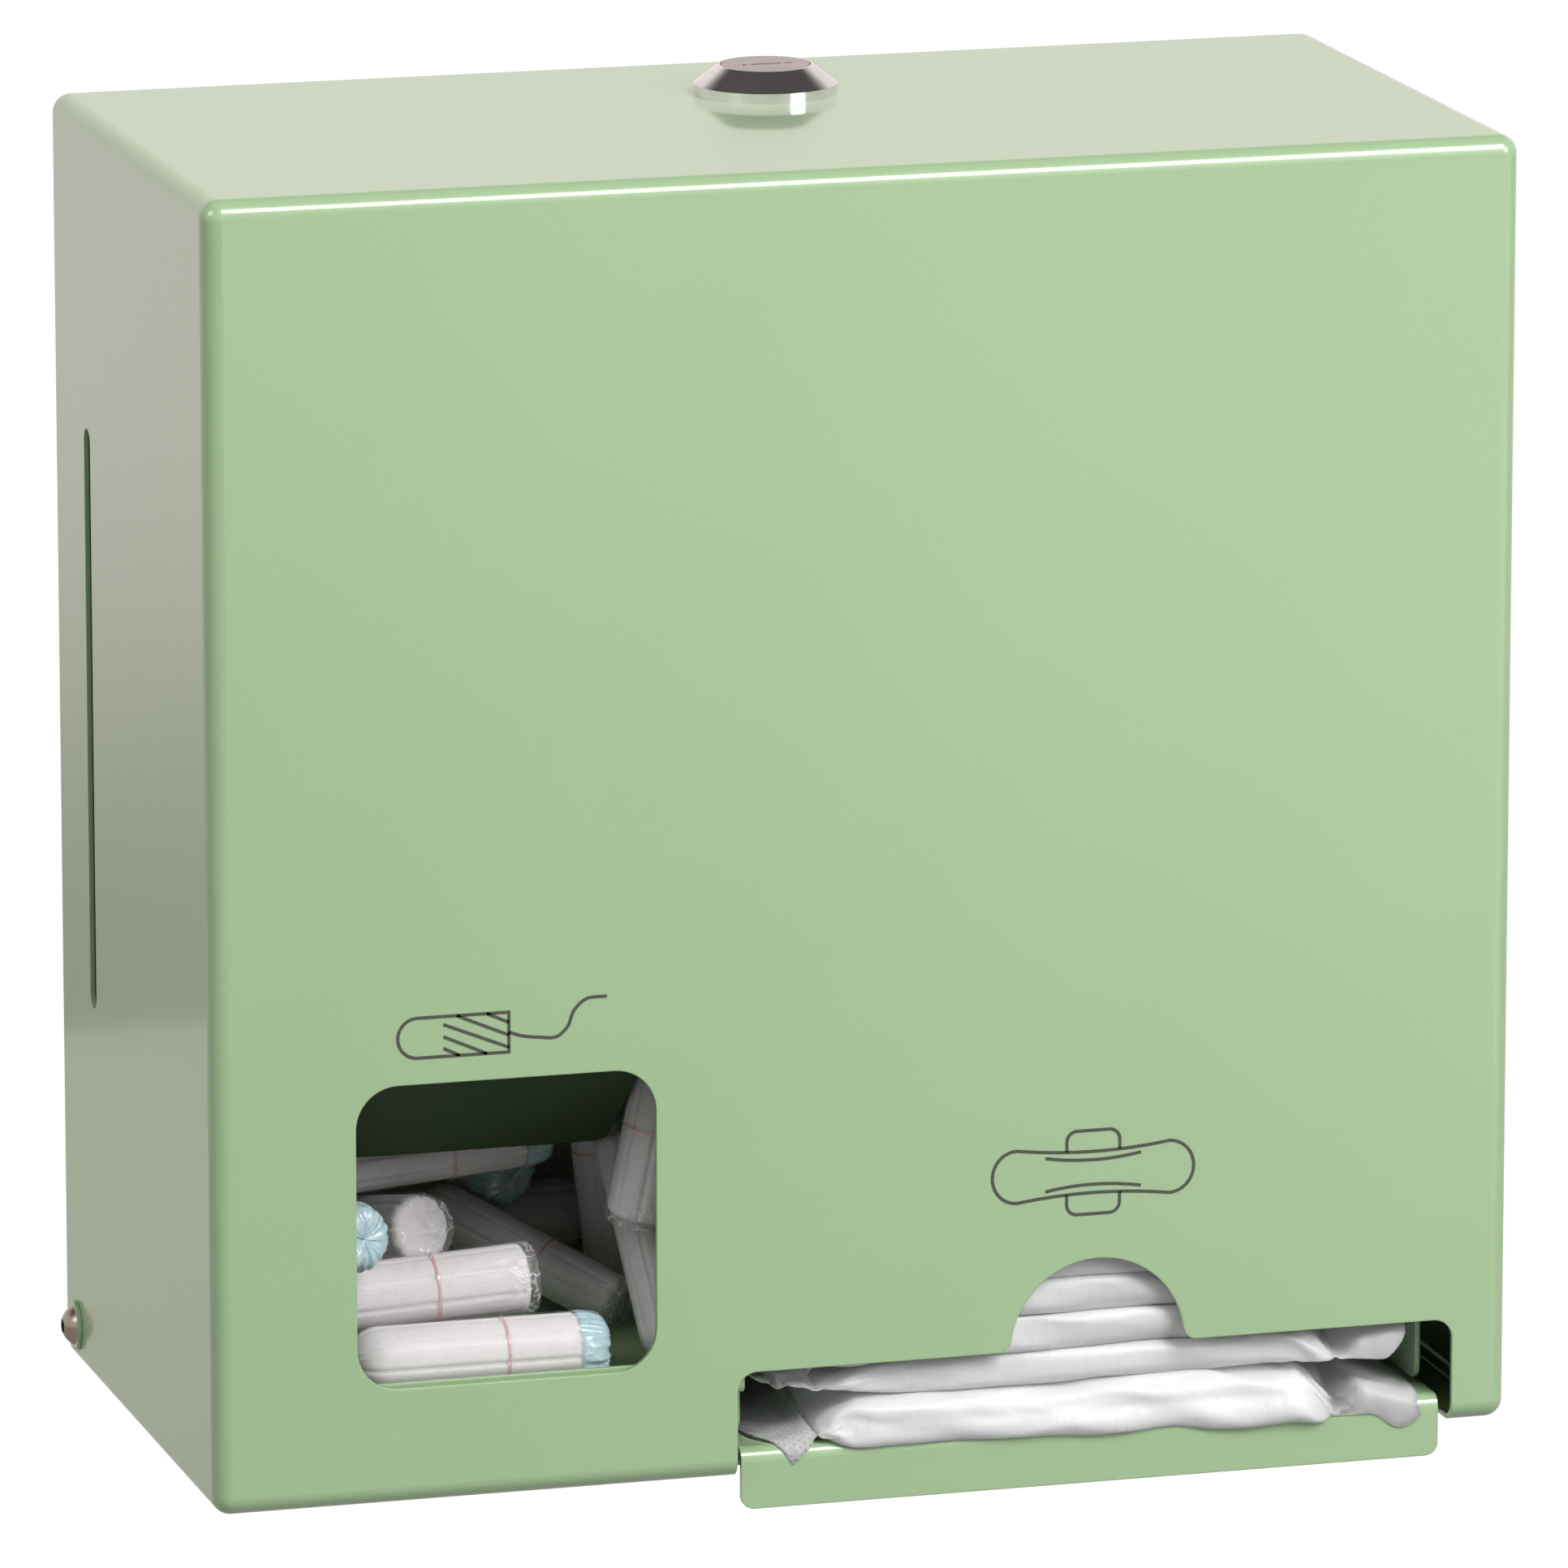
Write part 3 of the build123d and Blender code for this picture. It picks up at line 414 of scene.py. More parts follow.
def plated(name, colour, roughness, axis=None, pitch=0.0004, ring=0.25):
    """Plated or plain metal with a fine grain, and turned rings about an axis where one is given."""
    made, tree, shader, place = material(name)
    shader.inputs["Metallic"].default_value = 1.0
    mottle = use(tree, mottle_group, Vector=place.outputs["Object"], Patch_Scale=120.0, Grain_Scale=2500.0)
    dull = tuple(c * 0.88 for c in colour)
    tone = colour_mix(tree, span(tree, mottle.outputs["Patch"], 0.35, 0.68), tuple(colour), dull)
    tree.links.new(tone, shader.inputs["Base Color"])
    rough = math_node(tree, "ADD", roughness, math_node(tree, "MULTIPLY", mottle.outputs["Grain"], 0.06))
    tree.links.new(rough, shader.inputs["Roughness"])
    if axis is not None:
        centred = moved(tree, place.outputs["Object"], location=(-axis[0], -axis[1], 0))
        rings = use(tree, rings_group, Vector=centred, Pitch=pitch)
        tree.links.new(bump(tree, rings.outputs["Height"], ring, 0.02 * MM), shader.inputs["Normal"])
    else:
        tree.links.new(bump(tree, mottle.outputs["Grain"], 0.15, 0.03 * MM), shader.inputs["Normal"])
    return made


def ink():
    """Printed ink: dark, matt, thinner where the coat's texture shows through."""
    made, tree, shader, place = material("line_ink")
    colour = tuple(settings().finish.ink)
    mottle = use(tree, mottle_group, Vector=place.outputs["Object"], Patch_Scale=300.0, Grain_Scale=2600.0)
    thin = tuple(c * 1.5 + 0.01 for c in colour)
    tree.links.new(colour_mix(tree, span(tree, mottle.outputs["Grain"], 0.35, 0.8), colour, thin),
                   shader.inputs["Base Color"])
    tree.links.new(span(tree, mottle.outputs["Patch"], 0.2, 0.8, 0.38, 0.55), shader.inputs["Roughness"])
    return made


def pad_film():
    """Thin white film: fine slanting creases, and rows of pressed dots on the left seal by the UV map."""
    made, tree, shader, place = material("pad_film")
    film = tuple(settings().pads.film)
    parts = tree.nodes.new("ShaderNodeSeparateXYZ")
    tree.links.new(place.outputs["UV"], parts.inputs[0])
    seal = span(tree, parts.outputs[1], 0.14, 0.125)
    slanted = moved(tree, place.outputs["Object"], rotation=(0.0, 0.75, 0.35), scale=(1.0, 1.0, 0.32))
    crease = use(tree, crease_group, Vector=slanted, Scale=120.0, Fine_Scale=420.0)
    cells = moved(tree, place.outputs["Object"], scale=(520.0, 520.0, 520.0))
    grid = tree.nodes.new("ShaderNodeSeparateXYZ")
    tree.links.new(cells, grid.inputs[0])
    down = math_node(tree, "ADD", grid.outputs[1], grid.outputs[2])
    waves = [math_node(tree, "SINE", math_node(tree, "MULTIPLY", way, 2 * math.pi))
             for way in (grid.outputs[0], down)]
    dots = span(tree, math_node(tree, "MULTIPLY", *waves), 0.45, 0.85)
    dots = math_node(tree, "MULTIPLY", dots, seal)
    patch = use(tree, mottle_group, Vector=place.outputs["Object"], Patch_Scale=45.0, Grain_Scale=900.0)
    grey = tuple(c * 0.94 for c in film)
    colour = colour_mix(tree, span(tree, patch.outputs["Patch"], 0.35, 0.75, 0.0, 0.6), film, grey)
    colour = colour_mix(tree, math_node(tree, "MULTIPLY", dots, 0.55), colour, tuple(c * 0.45 for c in film))
    tree.links.new(colour, shader.inputs["Base Color"])
    tree.links.new(span(tree, patch.outputs["Grain"], 0.2, 0.8, 0.34, 0.48), shader.inputs["Roughness"])
    height = math_node(tree, "SUBTRACT", crease.outputs["Height"], math_node(tree, "MULTIPLY", dots, 0.8))
    tree.links.new(bump(tree, height, 0.45, 0.5 * MM), shader.inputs["Normal"])
    shader.inputs["Subsurface Weight"].default_value = 0.7
    shader.inputs["Subsurface Radius"].default_value = (1.0, 1.0, 1.0)
    shader.inputs["Subsurface Scale"].default_value = 4 * MM
    shader.inputs["IOR"].default_value = 1.45
    return made


def cotton():
    """Pressed cotton: lengthwise fibres by the UV map, some of them darker at random, and a fine fuzz."""
    made, tree, shader, place = material("pressed_cotton")
    white = tuple(settings().tampons.cotton)
    fibres = moved(tree, place.outputs["UV"], scale=(90.0, 3.0, 1.0))
    strand = noise(tree, fibres, 1.0, 4.0, 0.65)
    fuzz = noise(tree, place.outputs["Object"], 260.0, 3.0, 0.6)
    shade = tuple(c * 0.88 for c in white)
    colour = colour_mix(tree, span(tree, strand, 0.42, 0.72, 0.0, 0.6), white, shade)
    colour = colour_mix(tree, span(tree, fuzz, 0.45, 0.8, 0.0, 0.3), colour, tuple(c * 0.9 for c in white))
    tree.links.new(colour, shader.inputs["Base Color"])
    tree.links.new(span(tree, fuzz, 0.3, 0.7, 0.70, 0.88), shader.inputs["Roughness"])
    height = math_node(tree, "ADD", strand, math_node(tree, "MULTIPLY", fuzz, 0.5))
    tree.links.new(bump(tree, height, 0.3, 0.10 * MM), shader.inputs["Normal"])
    shader.inputs["Sheen Weight"].default_value = 0.15
    return made


def wrap_film(name, tinted):
    """Clear film whose crease ridges are painted near white and made less clear, as painted highlights. Along the
    UV map it carries a tear band, and a tinted end where asked.
    """
    made, tree, shader, place = material(name)
    tampons = settings().tampons
    parts = tree.nodes.new("ShaderNodeSeparateXYZ")
    tree.links.new(place.outputs["UV"], parts.inputs[0])
    along = parts.outputs[1]
    crease = use(tree, crease_group, Vector=place.outputs["Object"], Scale=230.0, Fine_Scale=700.0)
    ends = math_node(tree, "ADD", span(tree, along, 0.20, 0.04), span(tree, along, 0.74, 0.90), clamp=True)
    painted_highlight_ridge = math_node(tree, "MULTIPLY", crease.outputs["Ridge"], span(tree, ends, 0.0, 1.0, 0.08, 0.75))
    band = math_node(tree, "MULTIPLY", span(tree, along, 0.570, 0.573), span(tree, along, 0.580, 0.577))
    clear = (0.86, 0.85, 0.85)
    colour = colour_mix(tree, band, clear, tuple(tampons.band))
    # Painted highlight: the film is made less clear along the crease ridges.
    alpha = math_node(tree, "ADD", math_node(tree, "MULTIPLY", painted_highlight_ridge, 0.5), 0.10)
    alpha = math_node(tree, "MAXIMUM", alpha, math_node(tree, "MULTIPLY", band, 0.85))
    if tinted:
        tint = span(tree, along, 0.80, 0.83)
        colour = colour_mix(tree, tint, colour, tuple(tampons.foil))
        alpha = math_node(tree, "MAXIMUM", alpha, math_node(tree, "MULTIPLY", tint, 0.80))
    # Painted highlight: the crease ridges are painted near white.
    white = colour_mix(tree, math_node(tree, "MULTIPLY", painted_highlight_ridge, 0.6), colour, (0.95, 0.96, 0.97))
    tree.links.new(white, shader.inputs["Base Color"])
    tree.links.new(alpha, shader.inputs["Alpha"])
    tree.links.new(span(tree, crease.outputs["Height"], -0.6, 0.0, 0.10, 0.22), shader.inputs["Roughness"])
    tree.links.new(bump(tree, crease.outputs["Height"], 0.6, 0.5 * MM), shader.inputs["Normal"])
    shader.inputs["IOR"].default_value = 1.5
    shader.inputs["Coat Weight"].default_value = 0.6
    shader.inputs["Coat Roughness"].default_value = 0.05
    made.surface_render_method = "DITHERED"
    return made


# Surfaces


def signed_volume(points, faces):
    """Six times the volume that triangles fanned from each face's first corner sweep from the origin."""
    total = 0.0
    for third in range(2, faces.shape[1]):
        a, b, c = points[faces[:, 0]], points[faces[:, third - 1]], points[faces[:, third]]
        total += float(np.einsum("ij,ij->i", a, np.cross(b, c)).sum())
    return total


def closed_skin(name, grid, start, end):
    """A closed skin over rings: grid[i, j] is point j round ring i, and each end closes on one pole point.

    The UV map has u round the ring and v along the rings. Faces are turned outwards by the enclosed volume.
    """
    rings, around = grid.shape[:2]
    points = np.vstack([grid.reshape(-1, 3), start, end])
    i, j = np.meshgrid(np.arange(rings - 1), np.arange(around), indexing="ij")
    k = (j + 1) % around
    quads = np.stack([i * around + j, i * around + k, (i + 1) * around + k, (i + 1) * around + j], -1)
    quads = quads.reshape(-1, 4)
    r = np.arange(around)
    near = np.stack([np.full(around, rings * around), (r + 1) % around, r], -1)
    last = (rings - 1) * around
    far = np.stack([np.full(around, rings * around + 1), last + r, last + (r + 1) % around], -1)
    ring_v = np.linspace(0, 1, rings)
    quad_uv = np.stack([
        np.stack([j / around, ring_v[i]], -1), np.stack([(j + 1) / around, ring_v[i]], -1),
        np.stack([(j + 1) / around, ring_v[i + 1]], -1), np.stack([j / around, ring_v[i + 1]], -1)], 2)
    quad_uv = quad_uv.reshape(-1, 4, 2)
    mid = (r + 0.5) / around
    near_uv = np.stack([np.stack([mid, 0 * mid], -1), np.stack([(r + 1) / around, 0 * mid], -1),
                        np.stack([r / around, 0 * mid], -1)], 1)
    far_uv = np.stack([np.stack([mid, 0 * mid + 1], -1), np.stack([r / around, 0 * mid + 1], -1),
                       np.stack([(r + 1) / around, 0 * mid + 1], -1)], 1)
    tris, tri_uv = np.vstack([near, far]), np.vstack([near_uv, far_uv])
    if signed_volume(points, quads) + signed_volume(points, tris) < 0:
        quads, quad_uv = quads[:, ::-1], quad_uv[:, ::-1]
        tris, tri_uv = tris[:, ::-1], tri_uv[:, ::-1]
    mesh = bpy.data.meshes.new(name)
    mesh.from_pydata(points.tolist(), [], quads.tolist() + tris.tolist())
    layer = mesh.uv_layers.new(name="UVMap")
    layer.data.foreach_set("uv", np.concatenate([quad_uv.ravel(), tri_uv.ravel()]).astype(np.float32))
    mesh.polygons.foreach_set("use_smooth", np.ones(len(mesh.polygons), bool))
    mesh.update()
    return mesh


def put(name, mesh, body, slot, *materials):
    """An object at the origin with its mesh, finish and body."""
    made = bpy.data.objects.new(name, mesh)
    bpy.context.scene.collection.objects.link(made)
    for finish in materials:
        mesh.materials.append(finish)
    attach(made, body)
    return made


def ribbon(path, width, low_y, high_y, closed):
    """A flat line: a rectangle carried along a path in the front's plane.

    At each point the side direction is the path's direction turned a quarter round, and the mitre
    divides the half width by the cosine of half the corner's turn.
    """
    path = np.asarray(path, float)
    if closed:
        before, after = path - np.roll(path, 1, 0), np.roll(path, -1, 0) - path
    else:
        before = np.vstack([path[1] - path[0], np.diff(path, axis=0)])
        after = np.vstack([np.diff(path, axis=0), path[-1] - path[-2]])
    before /= np.linalg.norm(before, axis=1)[:, None]
    after /= np.linalg.norm(after, axis=1)[:, None]
    middle = before + after
    middle /= np.linalg.norm(middle, axis=1)[:, None]
    side = np.stack([-middle[:, 1], middle[:, 0]], 1)
    half = width / 2 / np.maximum(0.5, (middle * before).sum(1))[:, None]
    a, b = path + side * half, path - side * half
    corners = [np.stack([edge[:, 0], np.full(len(path), y), edge[:, 1]], 1)
               for edge, y in ((a, low_y), (b, low_y), (b, high_y), (a, high_y))]
    return np.stack(corners, 1)


def carried(profiles, closed):
    """Points and faces of a rectangle carried along a path, with both ends capped where it is open."""
    count = len(profiles)
    steps = np.arange(count if closed else count - 1)
    nxt = (steps + 1) % count
    j = np.arange(4)
    k = (j + 1) % 4
    faces = np.stack([steps[:, None] * 4 + j, steps[:, None] * 4 + k, nxt[:, None] * 4 + k,
                      nxt[:, None] * 4 + j], -1).reshape(-1, 4)
    if not closed:
        faces = np.vstack([faces, [[3, 2, 1, 0]], [(count - 1) * 4 + j]])
    points = profiles.reshape(-1, 3)
    if signed_volume(points, faces) < 0:
        faces = faces[:, ::-1]
    return points, faces


def joined(name, parts):
    """One mesh of several point and face sets."""
    points = np.vstack([p for p, _ in parts])
    starts = np.cumsum([0] + [len(p) for p, _ in parts[:-1]])
    faces = np.vstack([f + s for (_, f), s in zip(parts, starts)])
    mesh = bpy.data.meshes.new(name)
    mesh.from_pydata(points.tolist(), [], faces.tolist())
    mesh.update()
    return mesh


def arc(centre, radius, start, end, count=9):
    """Points on a circle from one angle to another, in degrees."""
    turn = np.radians(np.linspace(start, end, count))
    return np.stack([centre[0] + radius * np.cos(turn), centre[1] + radius * np.sin(turn)], 1)


def curve_through(points, count=48):
    """A smooth line through points: a cubic with slopes from each point's neighbours, by the chord length."""
    points = np.asarray(points, float)
    chord = np.concatenate([[0], np.cumsum(np.linalg.norm(np.diff(points, axis=0), axis=1))])
    slope = np.gradient(points, chord, axis=0)
    at = np.linspace(0, chord[-1], count)
    i = np.clip(np.searchsorted(chord, at, side="right") - 1, 0, len(chord) - 2)
    h = (chord[i + 1] - chord[i])[:, None]
    t = ((at - chord[i])[:, None]) / h
    return ((2 * t**3 - 3 * t**2 + 1) * points[i] + (t**3 - 2 * t**2 + t) * h * slope[i]
            + (-2 * t**3 + 3 * t**2) * points[i + 1] + (t**3 - t**2) * h * slope[i + 1])


# Line drawings: places in mm from the cover's middle and above its lower edge

TAMPON_LEFT, TAMPON_RIGHT, TAMPON_LOW, TAMPON_HIGH = -90.0, -69.0, 84.5, 92.0
HATCHES = (((-78.9, 92.0), (-69.0, 87.7)), ((-73.2, 92.0), (-69.0, 90.1)), ((-81.4, 90.5), (-69.0, 85.4)),
           ((-81.4, 88.2), (-73.2, 84.5)), ((-81.4, 86.0), (-78.3, 84.5)))
STRING = ((-69.0, 88.2), (-66.2, 87.3), (-63.3, 86.9), (-59.9, 86.8), (-57.9, 88.5), (-56.7, 91.4),
          (-54.6, 93.4), (-50.4, 93.8))
PAD_MID = (43.2, 53.8)
PAD_STRAIGHT, PAD_END_REACH, PAD_END_HALF, PAD_WAIST_HALF = 14.8, 4.8, 5.0, 3.95
WING_HALF, WING_HIGH, WING_R = 5.15, 8.0, 2.0
FOLD_HALF, FOLD_NEAR, FOLD_RISE = 9.3, 2.35, 0.85


def tampon_lines():
    """The outline: a half circle at the left and straight runs to the flat right end. Then the hatch and the
    string."""
    radius = (TAMPON_HIGH - TAMPON_LOW) / 2
    middle = (TAMPON_HIGH + TAMPON_LOW) / 2
    outline = np.vstack([arc((TAMPON_LEFT + radius, middle), radius, 90, 270, 25),
                         [(TAMPON_RIGHT, TAMPON_LOW), (TAMPON_RIGHT, TAMPON_HIGH)]])
    return [(outline, True)] + [(np.array(line), False) for line in HATCHES] + [(curve_through(STRING), False)]


def pad_lines():
    """The outline: long sides that a parabola draws in at the waist, and a half ellipse at each end.

    On it stand two rounded wings, and inside it lie two bowed fold lines.
    """
    cx, cz = PAD_MID
    x = np.linspace(-1, 1, 31)
    side = np.stack([cx + x * PAD_STRAIGHT, cz + PAD_WAIST_HALF + (PAD_END_HALF - PAD_WAIST_HALF) * x**2], 1)
    turn = np.radians(np.linspace(90, -90, 23))[1:-1]
    end = np.stack([cx + PAD_STRAIGHT + PAD_END_REACH * np.cos(turn), cz + PAD_END_HALF * np.sin(turn)], 1)
    half = np.vstack([side, end])
    outline = np.vstack([half, (2 * cx, 2 * cz) - half])
    foot = PAD_WAIST_HALF + 0.15
    wing = np.vstack([
        [(cx - WING_HALF, cz + foot)],
        arc((cx - WING_HALF + WING_R, cz + WING_HIGH - WING_R), WING_R, 180, 90, 9),
        arc((cx + WING_HALF - WING_R, cz + WING_HIGH - WING_R), WING_R, 90, 0, 9),
        [(cx + WING_HALF, cz + foot)]])
    fold = np.stack([cx + x * FOLD_HALF, cz + FOLD_NEAR + FOLD_RISE * x**2], 1)
    flipped = [(2 * cx, 2 * cz) - line for line in (wing, fold)]
    return [(outline, True)] + [(line, False) for line in (wing, fold, *flipped)]


def draw(name, lines):
    """Ink ribbons on the cover's front. They start a hair inside the coat, so that nothing shows beneath them."""
    drawing = settings().drawings
    parts = []
    for path, closed in lines:
        placed = np.asarray(path) * MM + (0, FOOT_Z)
        profiles = ribbon(placed, drawing.line, FRONT_Y + 0.02 * MM, FRONT_Y - drawing.proud, closed)
        parts.append(carried(profiles, closed))
    return put(name, joined(name, parts), "cover", "green_powder_coat", finish("ink"))


# Wrapped pads: how many, the rings along one and the points round it, and where their random draws start

PADS, PAD_RINGS, PAD_ROUND = 14, 84, 104
PAD_SEED, SEAL_SEED = 40, 60


def wander(rng, shape, waves, reach):
    """A smooth random height on a grid: a sum of slanted cosines, with random directions and phases."""
    u, v = np.meshgrid(np.linspace(0, 1, shape[0]), np.arange(shape[1]) / shape[1], indexing="ij")
    total = np.zeros(shape)
    for _ in range(waves):
        along, around = rng.uniform(2, reach), int(rng.integers(1, reach))
        total += np.cos(2 * np.pi * (along * u + around * v) + rng.uniform(0, 2 * np.pi)) / waves**0.5
    return total


def thickened(run, places, reach, gain, count, closed):
    """Evenly spaced steps along a run, closer together near the places: the step is divided by one plus the
    gain times a bell curve about each place."""
    weight = 1 + gain * sum(np.exp(-((run - place) / reach) ** 2) for place in places)
    total = np.concatenate([[0], np.cumsum((weight[1:] + weight[:-1]) / 2 * np.diff(run))])
    return np.interp(np.linspace(0, total[-1], count, endpoint=not closed), total, run)


def pad_section(half_depth, half_height, count):
    """A flat rounded section, with its points closest together at the front.

    At angle a the point stands half_height times the 0.6th power of cos a out from a line that runs
    tanh(3.2 cos a) of the way to the rounded edge, and half_height times the 0.6th power of sin a up.
    """
    angle = np.linspace(0, 2 * np.pi, 1441)
    out, up = (np.sign(way) * np.abs(way) ** 0.6 for way in (np.cos(angle), np.sin(angle)))
    y = -(half_depth - half_height) * np.tanh(3.2 * np.cos(angle)) / math.tanh(3.2) - half_height * out
    z = half_height * up
    run = np.concatenate([[0], np.cumsum(np.hypot(np.diff(y), np.diff(z)))])
    at = thickened(run, (0, run[-1]), 14 * MM, 3.5, count, True)
    return np.stack([np.interp(at, run, y), np.interp(at, run, z)], 1)


# Pads with longer shoulders at the left and right end, in mm
LONG_SHOULDER = {1: (9.0, 9.0), 2: (20.0, 8.0), 3: (10.0, 5.0)}


def pad_grid(low, high, seed, rings, around, left_shoulder, right_shoulder):
    """A wrapped pad's skin: the section's half height is half the seal's thickness in the two seals and rises
    over the shoulders to the pad's own by a power of a sine, with a random wave on top."""
    pads = settings().pads
    rng = np.random.default_rng(seed)
    low, high = np.asarray(low), np.asarray(high)
    centre, size = (low + high) / 2, high - low
    run = np.linspace(0, size[0], 1001)
    x = thickened(run, (pads.left_seal, size[0] - pads.right_seal), 8 * MM, 2.0, rings, False)
    inside = np.clip(np.minimum((x - pads.left_seal) / left_shoulder,
                                (size[0] - pads.right_seal - x) / right_shoulder), 0, 1)
    rise = np.sin(inside * np.pi / 2) ** (0.95 if left_shoulder > pads.shoulder else 0.7)
    flat = pads.film_t / size[2]
    section = pad_section(size[1] / 2, size[2] / 2, around)
    heights = flat + (1 - flat) * rise
    depth = 1 - 0.018 * (1 - rise)
    grid = np.empty((rings, around, 3))
    grid[..., 0] = low[0] + x[:, None]
    grid[..., 1] = centre[1] + section[None, :, 0] * depth[:, None]
    grid[..., 2] = centre[2] + section[None, :, 1] * heights[:, None]
    wave = wander(rng, (rings, around), 14, 9) * pads.wave
    grid[..., 2] += wave * rise[:, None] * 0.35
    grid[..., 1] += wave * rise[:, None] * 0.6
    return grid


# How long the cloth is pushed, in frames
PUSH_FRAMES = 20


def filled(obj, held, base):
    """The filling's push: cloth under pressure with its seals held, its moves capped, then applied."""
    pads = settings().pads
    keep = obj.vertex_groups.new(name="seals")
    keep.add(np.nonzero(held)[0].tolist(), 1.0, "REPLACE")
    cloth = obj.modifiers.new("filling", "CLOTH")
    facts = cloth.settings
    facts.quality = 5
    facts.mass = 0.1
    facts.tension_stiffness = facts.compression_stiffness = 12
    facts.shear_stiffness = 5
    facts.bending_stiffness = 0.08
    facts.use_pressure = True
    facts.uniform_pressure_force = pads.pressure
    facts.shrink_min = -0.035
    facts.vertex_group_mass = "seals"
    facts.effector_weights.gravity = 0
    cloth.point_cache.frame_start, cloth.point_cache.frame_end = 1, PUSH_FRAMES
    scene = bpy.context.scene
    for step in range(1, PUSH_FRAMES + 1):
        scene.frame_set(step)
    shaped = obj.evaluated_get(bpy.context.evaluated_depsgraph_get())
    after = np.empty(len(base) * 3, np.float32)
    shaped.data.vertices.foreach_get("co", after)
    move = after.reshape(-1, 3) - base
    length = np.linalg.norm(move, axis=1)[:, None]
    cap = pads.swell
    move = move / np.maximum(length, 1e-9) * (cap * np.tanh(length / cap))
    obj.modifiers.remove(cloth)
    obj.vertex_groups.remove(keep)
    scene.frame_set(1)
    return base + move


def coordinates(mesh):
    """A mesh's points as rows of x, y and z."""
    flat = np.empty(len(mesh.vertices) * 3, np.float32)
    mesh.vertices.foreach_get("co", flat)
    return flat.reshape(-1, 3).astype(float)


def settle(points, low, high, margin):
    """Points eased back into a box: past each side the overshoot is squeezed to the margin by a tanh."""
    for axis in range(3):
        ease = margin[axis]
        over = points[:, axis] - high[axis]
        points[:, axis] = np.where(over > 0, high[axis] + ease * np.tanh(over / ease), points[:, axis])
        under = low[axis] - points[:, axis]
        points[:, axis] = np.where(under > 0, low[axis] - ease * np.tanh(under / ease), points[:, axis])
    return points


# Heights over the cover's lower edge in the level stack, and how far the fronts sag there, in mm
SAG_FROM = (0.0, 15.2, 22.4, 29.5, 36.5)
SAG_BY = (2.3, 2.55, 3.25, 3.55, 3.65)
# How much further the front sinks at a pad's left and right end, and over what length before the seal, in mm
END_SINK = {1: ((1.7, 9.0), (5.2, 9.0)), 2: ((1.0, 14.0), (2.6, 8.0)), 3: ((2.6, 21.0), (0.5, 5.0))}
# The tray in mm: y and height of the centre of its lip's fold, the fold's outer radius, and its floor's height
LIP_Y, LIP_H, LIP_R = -115.6, 2.5, 2.6
TRAY_H = 5.05
# The seals' front edge in mm, how far back of it a seal is drawn forwards, and where its corner is gathered
SEAL_Y, SEAL_DRAWN, SEAL_GATHERED = -116.6, 13, 4


def soft(value, start, end):
    """0 before the start and 1 after the end, with a smooth cubic step between."""
    t = np.clip((value - start) / (end - start), 0, 1)
    return t * t * (3 - 2 * t)


def slumped(points, number, ends):
    """The stack's fronts sag: each point sinks by its height's share of the sag, over a smooth step towards the
    front, and further near the ends of some pads. The lowest pad's front also bulges forwards and hangs over
    the tray's lip, more on the right."""
    x, y, h = points[:, 0] / MM, points[:, 1] / MM, (points[:, 2] - FOOT_Z) / MM
    front = soft(-y, 92, 117)
    sink = np.interp(h, SAG_FROM, SAG_BY) * front
    if number == 1:
        belly = np.clip((10.2 - h) / 4.9, 0, 1) * soft(-y, 104, 113)
        hang = (0.35 + 0.65 * soft(x, 2, 34)) * (1 + 0.06 * np.cos(x / 6.5) + 0.05 * np.cos(x / 3.1 + 1))
        ahead = 1.5 * front + 1.5 * np.sin(np.minimum(belly, 1) * 2.4) * hang
        sink = sink * (0.75 + 0.25 * hang) + 1.3 * belly * hang
    else:
        ahead = 0.5 * front + 0.25 * np.cos(x / 9 + number) * front
    for (sag, reach), inward in zip(END_SINK.get(number, ()), (x - ends[0] / MM, ends[1] / MM - x)):
        near_end = 1 - np.sin(np.clip(inward / reach, 0, 1) * np.pi / 2)
        sink = sink + sag * near_end * front
        ahead = ahead + (1.7 * front - ahead) * near_end * (number == 1)
    points[:, 1] -= ahead * MM
    points[:, 2] -= sink * MM
    return points


def on_tray(points):
    """Points lifted clear of the tray: its floor, and the quarter circle of its lip's fold."""
    y, h = points[:, 1] / MM, (points[:, 2] - FOOT_Z) / MM
    fold = LIP_H + np.sqrt(np.clip(LIP_R**2 - (y - LIP_Y) ** 2, 0, None))
    foot = np.where(y > LIP_Y, TRAY_H, np.where(y > LIP_Y - LIP_R, fold, -99.0))
    points[:, 2] = FOOT_Z + np.maximum(h, foot) * MM
    return points


